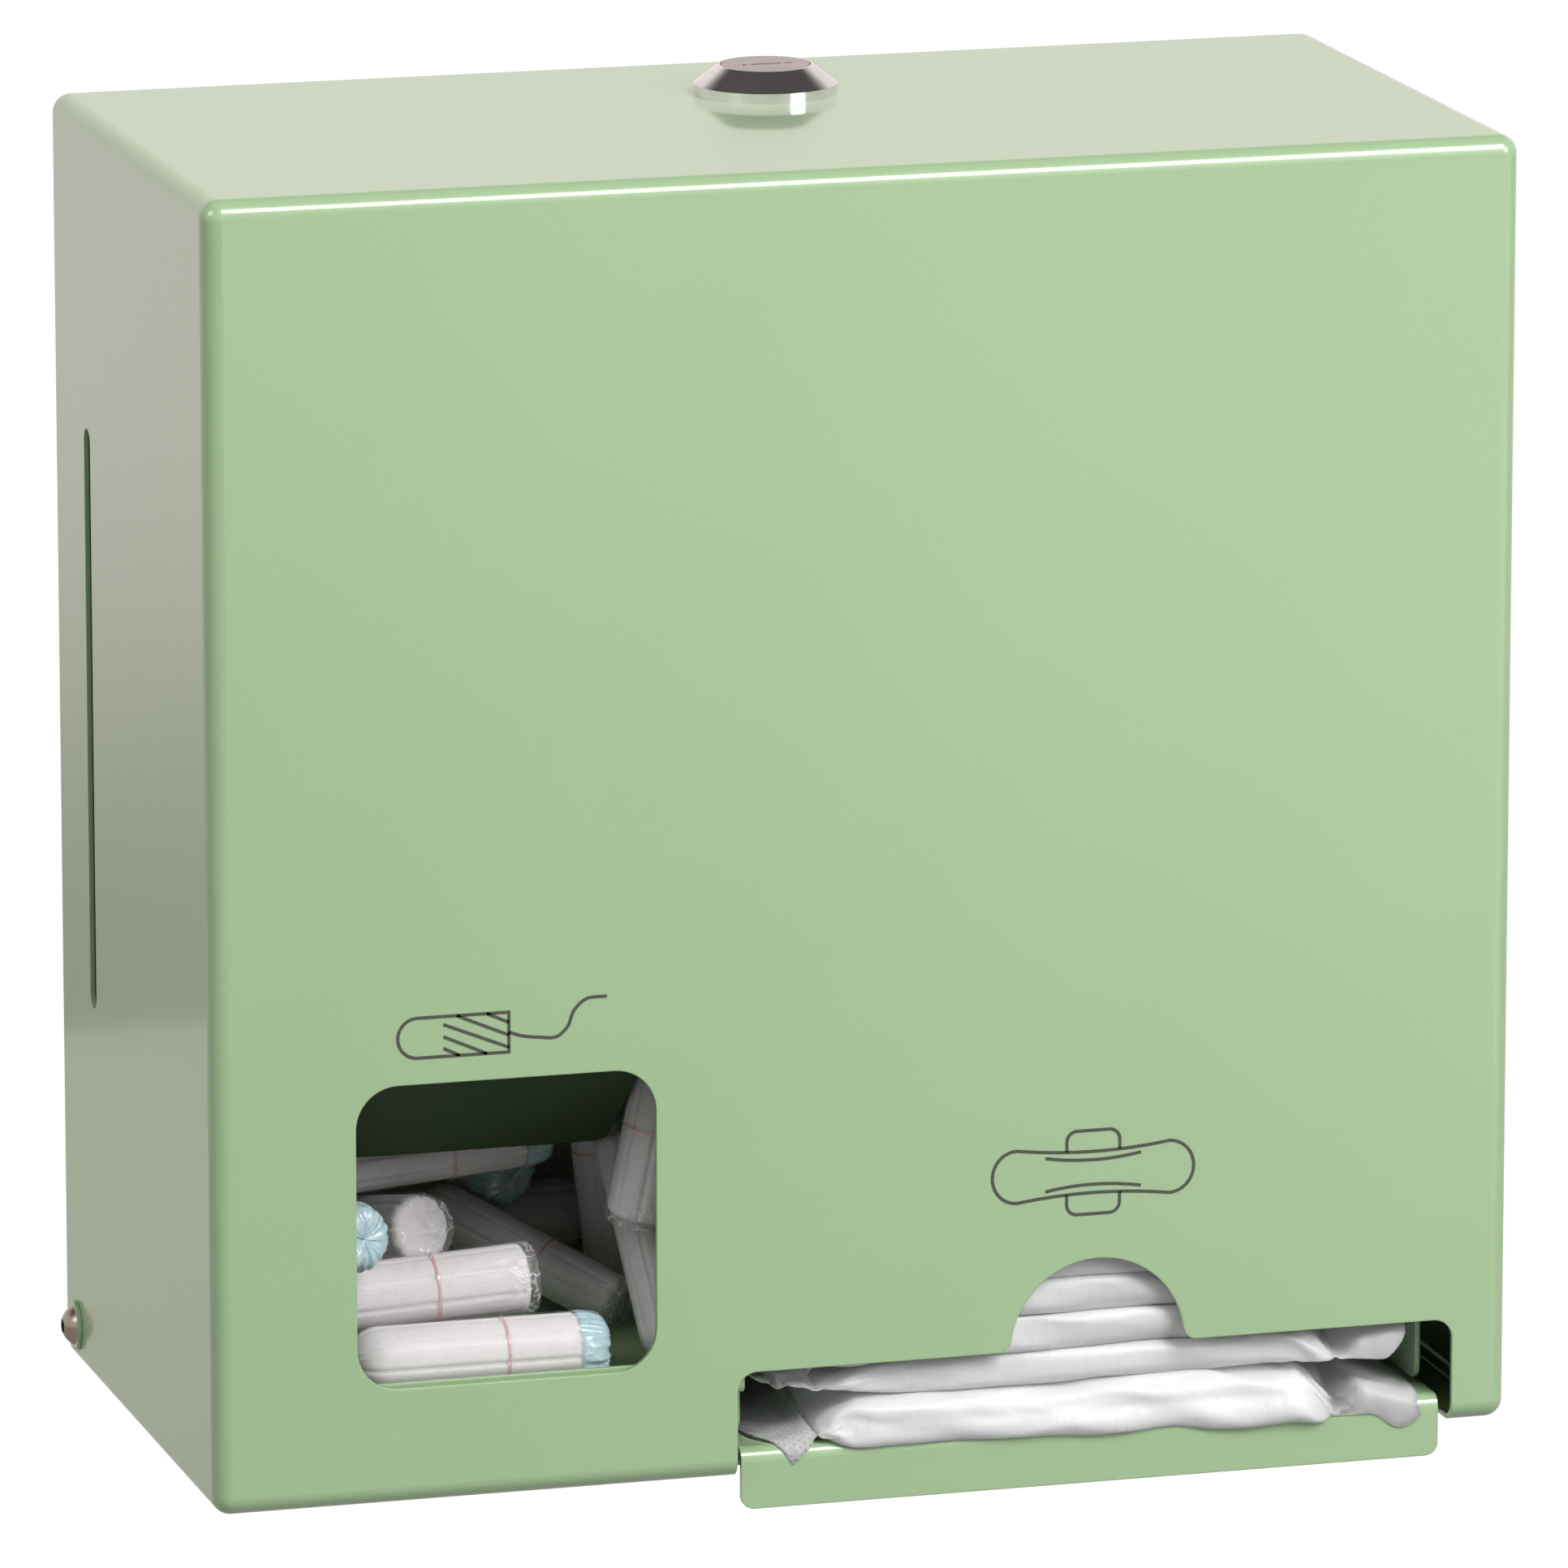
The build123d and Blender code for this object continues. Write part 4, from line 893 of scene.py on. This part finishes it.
def flap(points, way, start, end, fold, heights, lows, spread, gather, seed):
    """A seal laid as a sheet: flat behind its fold, then round the fold and down.

    Across the seal, from the body out, the sheet's height behind the fold follows the first table, and the
    height of its front edge follows the second. The length of sheet past the fold is the arc that falls that
    far, or a quarter turn and the rest straight down. At length q past the fold, a point is turned q / r round
    it until it has turned a quarter. The seal is spread outwards, and its front corner is gathered in again
    over the last length of sheet. Creases are folded cosines along the sheet.
    """
    rng = np.random.default_rng(seed)
    x, y, h = points[:, 0] / MM, points[:, 1] / MM, (points[:, 2] - FOOT_Z) / MM
    s = np.clip((x - start) / (end - start), 0, 1)
    inside = (x - start) * way > 0
    fold_y, radius = fold
    middle = h[inside].mean() if inside.any() else 0.0
    near = np.exp((SEAL_Y - y) / SEAL_DRAWN)
    top = np.interp(s, np.linspace(0, 1, len(heights)), heights)
    fall = np.maximum(top - np.interp(s, *np.transpose(lows)), 0.02)
    turned = radius * np.arccos(np.clip(1 - fall / radius, 0, 1))
    reach = np.where(fall > radius, fall + radius * (np.pi / 2 - 1), turned)
    t = (y - fold_y) + (-reach - (SEAL_Y - fold_y)) * near
    past = np.clip(-t, 0, None)
    turn = np.minimum(past / radius, np.pi / 2)
    down = np.clip(past - radius * np.pi / 2, 0, None)
    crease = 0.0
    for _ in range(5):
        along, slant, phase = rng.uniform(0.15, 0.5), rng.uniform(-0.9, 0.9), rng.uniform(0, 6.28)
        crease = crease + np.abs(np.cos(along * t + slant * (x - start) + phase)) - 0.64
    crease = 0.16 * crease * np.minimum(1, 3 * s) * soft(-y, 60, 105)
    off = np.clip(h - middle, -0.3, 0.3) + np.clip(crease, -0.5, 1.0)
    new_y = np.where(t > 0, fold_y + t, fold_y - radius * np.sin(turn)) - off * np.sin(turn)
    new_h = np.where(t > 0, top, top - radius * (1 - np.cos(turn)) - down) + off * np.cos(turn)
    gathered = np.clip((SEAL_GATHERED - t) / (SEAL_GATHERED + reach), 0, 1)
    new_x = x + way * s * (spread - (spread + gather) * gathered)
    return np.stack([new_x * MM, new_y * MM, FOOT_Z + new_h * MM], 1)


# Each visible seal, in mm: the side, the fold (y, radius), heights behind the fold from the body out, (place,
# height) of the front edge from the body out, how far the seal is spread out, and its front corner gathered in
FLAPS = {
    1: ((-1, (-115.6, 2.75), (7.4, 6.6, 6.0, 5.5, 5.3), ((0, 5.9), (1, 0.5)), 2.3, 4.6),
        (1, (-115.6, 2.75), (9.6, 8.6, 7.4, 6.2, 5.4),
         ((0, 2.4), (0.36, 2.5), (0.6, -1.0), (0.76, -0.8), (0.87, 0.6), (1, 3.8)), 0.8, -3.4)),
    2: ((-1, (-115.0, 1.2), (15.4, 15.8, 16.0, 16.0, 15.8), ((0, 14.6), (0.5, 15.4), (1, 15.6)), 0.0, 5.0),
        (1, (-116.2, 1.4), (16.4, 17.0, 17.8, 18.6, 19.0),
         ((0, 13.3), (0.12, 13.3), (0.7, 12.5), (1, 18.4)), 0.0, 0.6)),
    3: ((-1, (-112.5, 1.5), (20.0, 19.6, 19.2, 18.8, 18.6), ((0, 16.6), (0.6, 15.6), (1, 14.4)), 0.0, 2.8),
        (1, (-115.0, 1.5), (22.6, 23.0, 23.5, 24.0, 24.2), ((0, 21.0), (0.5, 21.0), (1, 23.6)), 0.0, 0.5)),
}


def wrapped_pad(number):
    """One wrapped pad in its solid's place."""
    name = "pad_%02d" % number
    pads = settings().pads
    low, high = (np.array(corner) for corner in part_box(name))
    shoulders = [max(reach * MM, pads.shoulder) for reach in LONG_SHOULDER.get(number, (0, 0))]
    grid = pad_grid(low, high, PAD_SEED + number, PAD_RINGS, PAD_ROUND, *shoulders)
    start, end = grid[0].mean(0), grid[-1].mean(0)
    mesh = closed_skin("wrapped_" + name, grid, start, end)
    made = put("wrapped_" + name, mesh, "bottom_pad" if number == 1 else "chassis", "pad_wrap", finish("pad_film"))
    points = coordinates(mesh)
    held = (points[:, 0] < low[0] + pads.left_seal) | (points[:, 0] > high[0] - pads.right_seal)
    points = filled(made, held, points)
    points = settle(points, low + (0, 0.4 * MM, 0), high - (0, 0.4 * MM, 0), (0.3 * MM, 0.8 * MM, 0.14 * MM))
    flat = points.copy()
    left, right = low[0] + pads.left_seal, high[0] - pads.right_seal
    points = slumped(points, number, (left, right))
    for way, *shape in FLAPS.get(number, ()):
        ends = (left, low[0]) if way < 0 else (right, high[0])
        seal = (flat[:, 0] - ends[0]) * way > 0
        laid = flap(flat, way, ends[0] / MM, ends[1] / MM, *shape, SEAL_SEED + 2 * number + way)
        s = np.clip((flat[:, 0] - ends[0]) / (ends[1] - ends[0]), 0, 1)
        w = (soft(s, 0.0, 0.28) * seal)[:, None]
        points = points + (laid - points) * w
    if number == 1:
        points = on_tray(points)
    mesh.vertices.foreach_set("co", points.astype(np.float32).ravel())
    mesh.update()
    smooth = made.modifiers.new("smooth", "SUBSURF")
    smooth.levels = smooth.render_levels = 1
    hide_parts(name)
    return made


# Wrapped tampons

TAMPONS, TAMPON_SEED = 13, 200
# The ones whose film ends in a tinted cap; the others end clear
TINTED = (1, 3, 5, 6, 8)


def tampon_axis(name):
    """A tampon's place read from its solid's points: their middle, the first axis of their spread, the half
    length along it, and each point's distance from the axis and place along it."""
    points = coordinates(NODES[name].data)
    centre = points.mean(0)
    _, _, axes = np.linalg.svd(points - centre, full_matrices=False)
    axis = axes[0]
    along = (points - centre) @ axis
    away = np.linalg.norm(points - centre - along[:, None] * axis, axis=1)
    middle = (along.max() + along.min()) / 2
    half = (along.max() - along.min()) / 2
    return centre + axis * middle, axis, half, away, along - middle


def main_place(name):
    """Middle, direction from the dome to the foil, half length and radius of a tampon's solid. The radius is
    the greatest distance from the axis, and the dome is the end whose tip is the narrower."""
    centre, axis, half, away, along = tampon_axis(name)
    radius = float(np.max(away))
    tips = [float(np.max(away[np.abs(along - way * half) < 0.35 * MM], initial=0)) for way in (-1, 1)]
    if tips[0] > tips[1]:
        axis = -axis
    return centre, axis, half, radius


def across(axis):
    """Two directions square to an axis and to each other."""
    up = np.array((0, 0, 1.0)) if abs(axis[2]) < 0.9 else np.array((0, 1.0, 0))
    side = np.cross(up, axis)
    side /= np.linalg.norm(side)
    return side, np.cross(axis, side)


def rod_grid(profile, along, around):
    """Rings about the X axis: places along it, radii and angles. The profile's points (x, r) are spaced evenly
    along its length and carried round."""
    profile = np.asarray(profile, float)
    run = np.concatenate([[0], np.cumsum(np.hypot(*np.diff(profile, axis=0).T))])
    at = np.linspace(0, run[-1], along)
    x, r = (np.interp(at, run, profile[:, way]) for way in (0, 1))
    return x, r, np.arange(around) / around * 2 * np.pi


def dome(x, radius, count=16):
    """A quarter circle from the axis to the full radius."""
    turn = np.linspace(0.12, np.pi / 2, count)
    return [(x + radius * (1 - math.cos(t)), radius * math.sin(t)) for t in turn]


def wrapped_tampon(number):
    """One wrapped tampon in its solid's place: a grooved cotton rod inside a creased film."""
    name = "tampon_%02d" % number
    tampons = settings().tampons
    rng = np.random.default_rng(TAMPON_SEED + number)
    centre, axis, half, radius = main_place(name)
    side, other = across(axis)
    tinted = number in TINTED
    core_r = radius - tampons.film_gap - 0.15 * MM
    tail = 4.2 * MM if tinted else 0.8 * MM
    pieces = []
    # Cotton: the radius dips by the groove's depth in eight narrow bell curves round the rod
    x, r, turn = rod_grid(dome(-half + 0.5 * MM, core_r) + [(half - tail - 2.0 * MM, core_r),
                          (half - tail - 1.2 * MM, core_r - 0.7 * MM), (half - tail - 1.0 * MM, 1.0 * MM)], 60, 96)
    phase = rng.uniform(0, 6.28)
    near = np.abs(np.angle(np.exp(1j * 8 * (turn + phase)))) / 8
    dip = tampons.groove * np.exp(-(near / 0.055) ** 2)
    share = np.clip((x + half) / (4 * MM), 0, 1) * np.clip(r / core_r, 0, 1)
    ring = r[:, None] - dip[None, :] * share[:, None]
    pieces.append((x[:, None] + 0 * ring, ring, turn))
    # Film: follows the rod, with ridged random folds that grow towards both ends
    if tinted:
        tip = [(half - tail, radius), (half - tail * 0.5, radius * 0.97), (half - tail * 0.2, radius * 0.88),
               (half, radius * 0.66), (half - 0.1 * MM, radius * 0.40), (half - 0.5 * MM, radius * 0.15)]
    else:
        tip = [(half - 0.9 * MM, radius), (half - 0.3 * MM, radius * 0.95), (half, radius * 0.86),
               (half - 0.1 * MM, radius * 0.5), (half - 0.25 * MM, radius * 0.15)]
    x, r, turn = rod_grid(dome(-half, radius) + tip, 84, 112)
    u = np.linspace(0, 1, len(x))
    rough = np.zeros((len(x), len(turn)))
    for _ in range(18):
        times, speed, start = int(rng.integers(2, 15)), rng.uniform(-14, 14), rng.uniform(0, 6.28)
        rough += np.cos(times * turn[None, :] + speed * u[:, None] * 2 * np.pi / 3 + start)
    rough = np.abs(rough) / 18**0.5
    ends = np.clip((0.20 - u) / 0.2, 0, 1) + np.clip((u - 0.74) / 0.12, 0, 1)
    depth = 0.04 * MM + ends * (0.75 * MM if tinted else 0.45 * MM)
    pleat = 0.0
    if tinted:
        neck = np.clip((u - 0.84) / 0.05, 0, 1)[:, None]
        pleat = neck * 0.07 * np.abs(np.sin(7 * turn[None, :] / 2 + 2.0 * u[:, None] + start))
    ring = np.maximum(r[:, None] * (1 - pleat) - rough * depth[:, None], 0.10 * r[:, None])
    shift = rough * depth[:, None] * 0.6 * np.clip((u - 0.9) / 0.06, 0, 1)[:, None]
    pieces.append((x[:, None] - shift, ring, turn))
    meshes = []
    for at, ring, turn in pieces:
        spoke = np.cos(turn)[None, :, None] * side + np.sin(turn)[None, :, None] * other
        grid = centre + at[..., None] * axis + ring[..., None] * spoke
        start, end = (centre + float(at[row].mean()) * axis for row in (0, -1))
        meshes.append(closed_skin(name, grid, start, end))
    film = finish("tinted_film") if tinted else finish("clear_film")
    rod = put("cotton_" + name, meshes[0], "chassis", "tampon_wrap", finish("cotton"))
    skin = put("film_" + name, meshes[1], "chassis", "tampon_wrap", film)
    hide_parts(name)
    return rod, skin


# Finishes by name, each made once


def finish(name):
    """A material of this object, made when it is first asked for."""
    found = bpy.data.materials.get(finish.names.get(name, ""))
    if found is not None:
        return found
    colours = settings().finish
    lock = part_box("lock_body")
    axis = ((lock[0].x + lock[1].x) / 2, (lock[0].y + lock[1].y) / 2)
    makers = {
        "powder_coat": lambda: powder_coat("green_powder_coat", 1.0, 1.0, colours.coat_gloss, 0.75),
        # The baffle's coat is darker and a deeper green: painted shade and bounced light for the shadow inside the
        # window.
        "painted_shade_coat": lambda: powder_coat("inner_powder_coat", 0.15, 1.6, 0.62, 0.0),
        "chrome": lambda: plated("lock_chrome", tuple(colours.chrome), 0.07, axis, 0.00042, 0.30),
        "nickel": lambda: plated("satin_nickel", tuple(colours.nickel), 0.34),
        "stainless": lambda: plated("stainless_steel", tuple(colours.steel), 0.24),
        "zinc": lambda: plated("zinc_plate", tuple(colours.zinc), 0.30),
        "ink": ink,
        "pad_film": pad_film,
        "cotton": cotton,
        "clear_film": lambda: wrap_film("clear_film", False),
        "tinted_film": lambda: wrap_film("tinted_film", True),
    }
    made = makers[name]()
    finish.names[name] = made.name
    return made


finish.names = {}

FINISH_OF = {
    "powder_coat": ("back_plate", "pad_channel", "pad_tray", "hopper_side", "hopper_floor", "cover",
                    "hinge_washers"),
    # The baffle gets the darkened coat, which is painted shade.
    "painted_shade_coat": ("hopper_front",),
    "chrome": ("lock_body",),
    "nickel": ("lock_plug",),
    "stainless": ("hinge_screws",),
    "zinc": ("lock_strike", "flush_rivets", "domed_rivets", "rivet_nuts", "lock_nut", "lock_washer", "lock_cam",
             "cam_screw"),
}


def coat_nodes(name):
    """Puts a finish on each solid that it belongs to."""
    for part in FINISH_OF[name]:
        slots = NODES[part].data.materials
        slots.clear()
        slots.append(finish(name))


# Stage

# Each lamp's place, the point it is turned to, and the length of its side
LAMPS = {"key": ((1.5, -3.0, 3.4), (0, -0.05, 0), 1.75), "fill": ((1.1, -1.45, 0.8), (0, -0.1, -0.08), 0.8),
         "side": ((-2.1, -1.0, 1.6), (0, -0.05, 0), 1.1)}
# The camera's place, its turn down and round in degrees, and its focal length in mm
CAMERA_AT, CAMERA_DOWN, CAMERA_ROUND, CAMERA_LENS = (-0.6708, -2.3865, 0.5445), 12.79, -16.10, 302.96
# The floor's corners
FLOOR_XY = ((-4, -5), (4, -5), (4, 1.35), (-4, 1.35))


def lamp(name, place, aim, size, power):
    """A soft square lamp turned towards a point."""
    data = bpy.data.lights.new(name, "AREA")
    data.shape = "SQUARE"
    data.size = size
    data.energy = power
    made = bpy.data.objects.new(name, data)
    bpy.context.scene.collection.objects.link(made)
    made.location = place
    way = np.asarray(aim, float) - np.asarray(place, float)
    made.rotation_euler = (math.atan2(math.hypot(way[0], way[1]), -way[2]), 0, math.atan2(-way[0], way[1]))
    return made


def floor_light(tree, place):
    """The floor's own brightness: full for camera and transmission rays, for mirrored rays a level that
    rises over soft steps towards the right in front and towards the wall behind, and little for matt
    surfaces."""
    path = tree.nodes.new("ShaderNodeLightPath")
    straight = math_node(tree, "MAXIMUM", path.outputs["Is Camera Ray"], path.outputs["Is Transmission Ray"])
    parts = tree.nodes.new("ShaderNodeSeparateXYZ")
    tree.links.new(place, parts.inputs[0])
    right = span(tree, parts.outputs[0], 0.15, 0.85)
    right = math_node(tree, "MULTIPLY", right, span(tree, parts.outputs[1], -0.6, -1.4))
    rear = span(tree, parts.outputs[1], 0.2, 1.2, 0.35, 0.6)
    level = math_node(tree, "ADD", math_node(tree, "MULTIPLY", right, 1.9), rear)
    mirrored = math_node(tree, "MULTIPLY", path.outputs["Is Glossy Ray"], level)
    seen = math_node(tree, "MAXIMUM", straight, mirrored)
    return math_node(tree, "MAXIMUM", seen, math_node(tree, "MULTIPLY", path.outputs["Is Diffuse Ray"], 0.16))


def room_light(tree, air):
    """The room's strength by direction: white all round for the camera, white below a dim ceiling for
    mirrored rays, and for matt surfaces light that grows from the horizon up."""
    path = tree.nodes.new("ShaderNodeLightPath")
    way = tree.nodes.new("ShaderNodeTexCoord")
    parts = tree.nodes.new("ShaderNodeSeparateXYZ")
    tree.links.new(way.outputs["Generated"], parts.inputs[0])
    up = parts.outputs[2]
    straight = math_node(tree, "MAXIMUM", path.outputs["Is Camera Ray"], path.outputs["Is Transmission Ray"])
    mirrored = math_node(tree, "MULTIPLY", path.outputs["Is Glossy Ray"], span(tree, up, 0.38, 0.72, 1.0, 0.10))
    mirrored = math_node(tree, "MULTIPLY", mirrored, span(tree, up, -0.24, -0.192, 0.30, 0.95))
    matt = math_node(tree, "SUBTRACT", 1.0, math_node(tree, "MAXIMUM", straight, path.outputs["Is Glossy Ray"]))
    matt = math_node(tree, "MULTIPLY", matt, span(tree, up, 0.0, 0.9, 0.08 * air, air))
    return math_node(tree, "ADD", math_node(tree, "MAXIMUM", straight, mirrored), matt)


def floor_material():
    """Pale matt floor with a faint tooth, brightened for the rays that see it as backdrop."""
    made, tree, shader, place = material("studio_floor")
    colour = tuple(settings().stage.floor)
    mottle = use(tree, mottle_group, Vector=place.outputs["Object"], Patch_Scale=1.5, Grain_Scale=60.0)
    tree.links.new(colour_mix(tree, mottle.outputs["Patch"], colour, tuple(c * 0.985 for c in colour)),
                   shader.inputs["Base Color"])
    shader.inputs["Roughness"].default_value = 0.9
    path = tree.nodes.new("ShaderNodeLightPath")
    tree.links.new(colour_mix(tree, path.outputs["Is Glossy Ray"], (1, 1, 1), tuple(settings().stage.sheen)),
                   shader.inputs["Emission Color"])
    tree.links.new(math_node(tree, "MULTIPLY", floor_light(tree, place.outputs["Object"]), settings().stage.glow),
                   shader.inputs["Emission Strength"])
    return made


class FinishSheetsOperator(bpy.types.Operator):
    """Put the powder coat on the cover and its liner, and a darkened coat, which paints the shade inside the
    window, on the baffle
    """
    bl_idname = "dispenser.finish_sheets"
    bl_label = "Coat the steel sheets"

    def execute(self, context):
        coat_nodes("powder_coat")
        coat_nodes("painted_shade_coat")
        return {"FINISHED"}


class FinishLockOperator(bpy.types.Operator):
    """Put turned chrome on the lock's collar and satin nickel on its plug"""
    bl_idname = "dispenser.finish_lock"
    bl_label = "Plate the lock"

    def execute(self, context):
        coat_nodes("chrome")
        coat_nodes("nickel")
        return {"FINISHED"}


class FinishFastenersOperator(bpy.types.Operator):
    """Put stainless steel and zinc on the screws, rivets, strike and cam"""
    bl_idname = "dispenser.finish_fasteners"
    bl_label = "Finish the fasteners"

    def execute(self, context):
        coat_nodes("stainless")
        coat_nodes("zinc")
        return {"FINISHED"}


class PrintDrawingsOperator(bpy.types.Operator):
    """Print the two line drawings on the front"""
    bl_idname = "dispenser.print_drawings"
    bl_label = "Print the drawings"

    def execute(self, context):
        draw("tampon_drawing", tampon_lines())
        draw("pad_drawing", pad_lines())
        return {"FINISHED"}


class WrapPadsOperator(bpy.types.Operator):
    """Make the stack of wrapped pads"""
    bl_idname = "dispenser.wrap_pads"
    bl_label = "Wrap the pads"

    def execute(self, context):
        for number in range(1, PADS + 1):
            wrapped_pad(number)
        return {"FINISHED"}


class WrapTamponsOperator(bpy.types.Operator):
    """Make the heap of wrapped tampons"""
    bl_idname = "dispenser.wrap_tampons"
    bl_label = "Wrap the tampons"

    def execute(self, context):
        for number in range(1, TAMPONS + 1):
            wrapped_tampon(number)
        return {"FINISHED"}


class SetStageOperator(bpy.types.Operator):
    """Lay the floor, hang the lamps and place the camera"""
    bl_idname = "dispenser.set_stage"
    bl_label = "Set the stage"

    def execute(self, context):
        stage = settings().stage
        scene = context.scene
        corners = [(x, y, stage.floor_z) for x, y in FLOOR_XY]
        mesh = bpy.data.meshes.new("studio_floor")
        mesh.from_pydata(corners, [], [(0, 1, 2, 3)])
        mesh.materials.append(floor_material())
        ground = bpy.data.objects.new("studio_floor", mesh)
        scene.collection.objects.link(ground)
        for name, shape in LAMPS.items():
            lamp(name + "_lamp", *shape, getattr(stage, name))
        world = bpy.data.worlds.new("studio_air")
        world.use_nodes = True
        scene.world = world
        tree = world.node_tree
        glow = tree.nodes["Background"]
        path = tree.nodes.new("ShaderNodeLightPath")
        tree.links.new(colour_mix(tree, path.outputs["Is Glossy Ray"], (1, 1, 1), tuple(stage.mirror)),
                       glow.inputs["Color"])
        tree.links.new(room_light(tree, stage.air), glow.inputs["Strength"])
        data = bpy.data.cameras.new("photo_camera")
        data.sensor_width = 36
        data.lens = CAMERA_LENS
        data.clip_end = 100
        eye = bpy.data.objects.new("photo_camera", data)
        scene.collection.objects.link(eye)
        eye.location = CAMERA_AT
        eye.rotation_euler = (math.radians(90 - CAMERA_DOWN), 0, math.radians(CAMERA_ROUND))
        scene.camera = eye
        scene.view_settings.view_transform = "Standard"
        return {"FINISHED"}


OPERATORS = (FinishSheetsOperator, FinishLockOperator, FinishFastenersOperator, PrintDrawingsOperator,
             WrapPadsOperator, WrapTamponsOperator, SetStageOperator)


class DispenserPanel(bpy.types.Panel):
    """The dispenser's steps and sizes"""
    bl_idname = "VIEW3D_PT_dispenser"
    bl_label = "Dispenser"
    bl_space_type = "VIEW_3D"
    bl_region_type = "UI"
    bl_category = "Dispenser"

    def draw(self, context):
        column = self.layout.column()
        values = context.scene.dispenser
        for part in ("finish", "pads", "tampons", "drawings", "stage"):
            held = getattr(values, part)
            column.label(text=part.capitalize())
            for key in held.bl_rna.properties.keys():
                if key not in ("rna_type", "name"):
                    column.prop(held, key)
        for operator in OPERATORS:
            column.operator(operator.bl_idname)


CLASSES = (FinishSettings, PadSettings, TamponSettings, DrawingSettings, StageSettings, DispenserSettings,
           *OPERATORS, DispenserPanel)


def register():
    for part in CLASSES:
        bpy.utils.register_class(part)
    bpy.types.Scene.dispenser = bpy.props.PointerProperty(type=DispenserSettings)


def unregister():
    del bpy.types.Scene.dispenser
    for part in reversed(CLASSES):
        bpy.utils.unregister_class(part)


def main():
    register()
    bpy.ops.dispenser.set_stage()
    bpy.ops.dispenser.finish_sheets()
    bpy.ops.dispenser.finish_lock()
    bpy.ops.dispenser.finish_fasteners()
    bpy.ops.dispenser.print_drawings()
    bpy.ops.dispenser.wrap_tampons()
    bpy.ops.dispenser.wrap_pads()


if __name__ == "__main__":
    main()
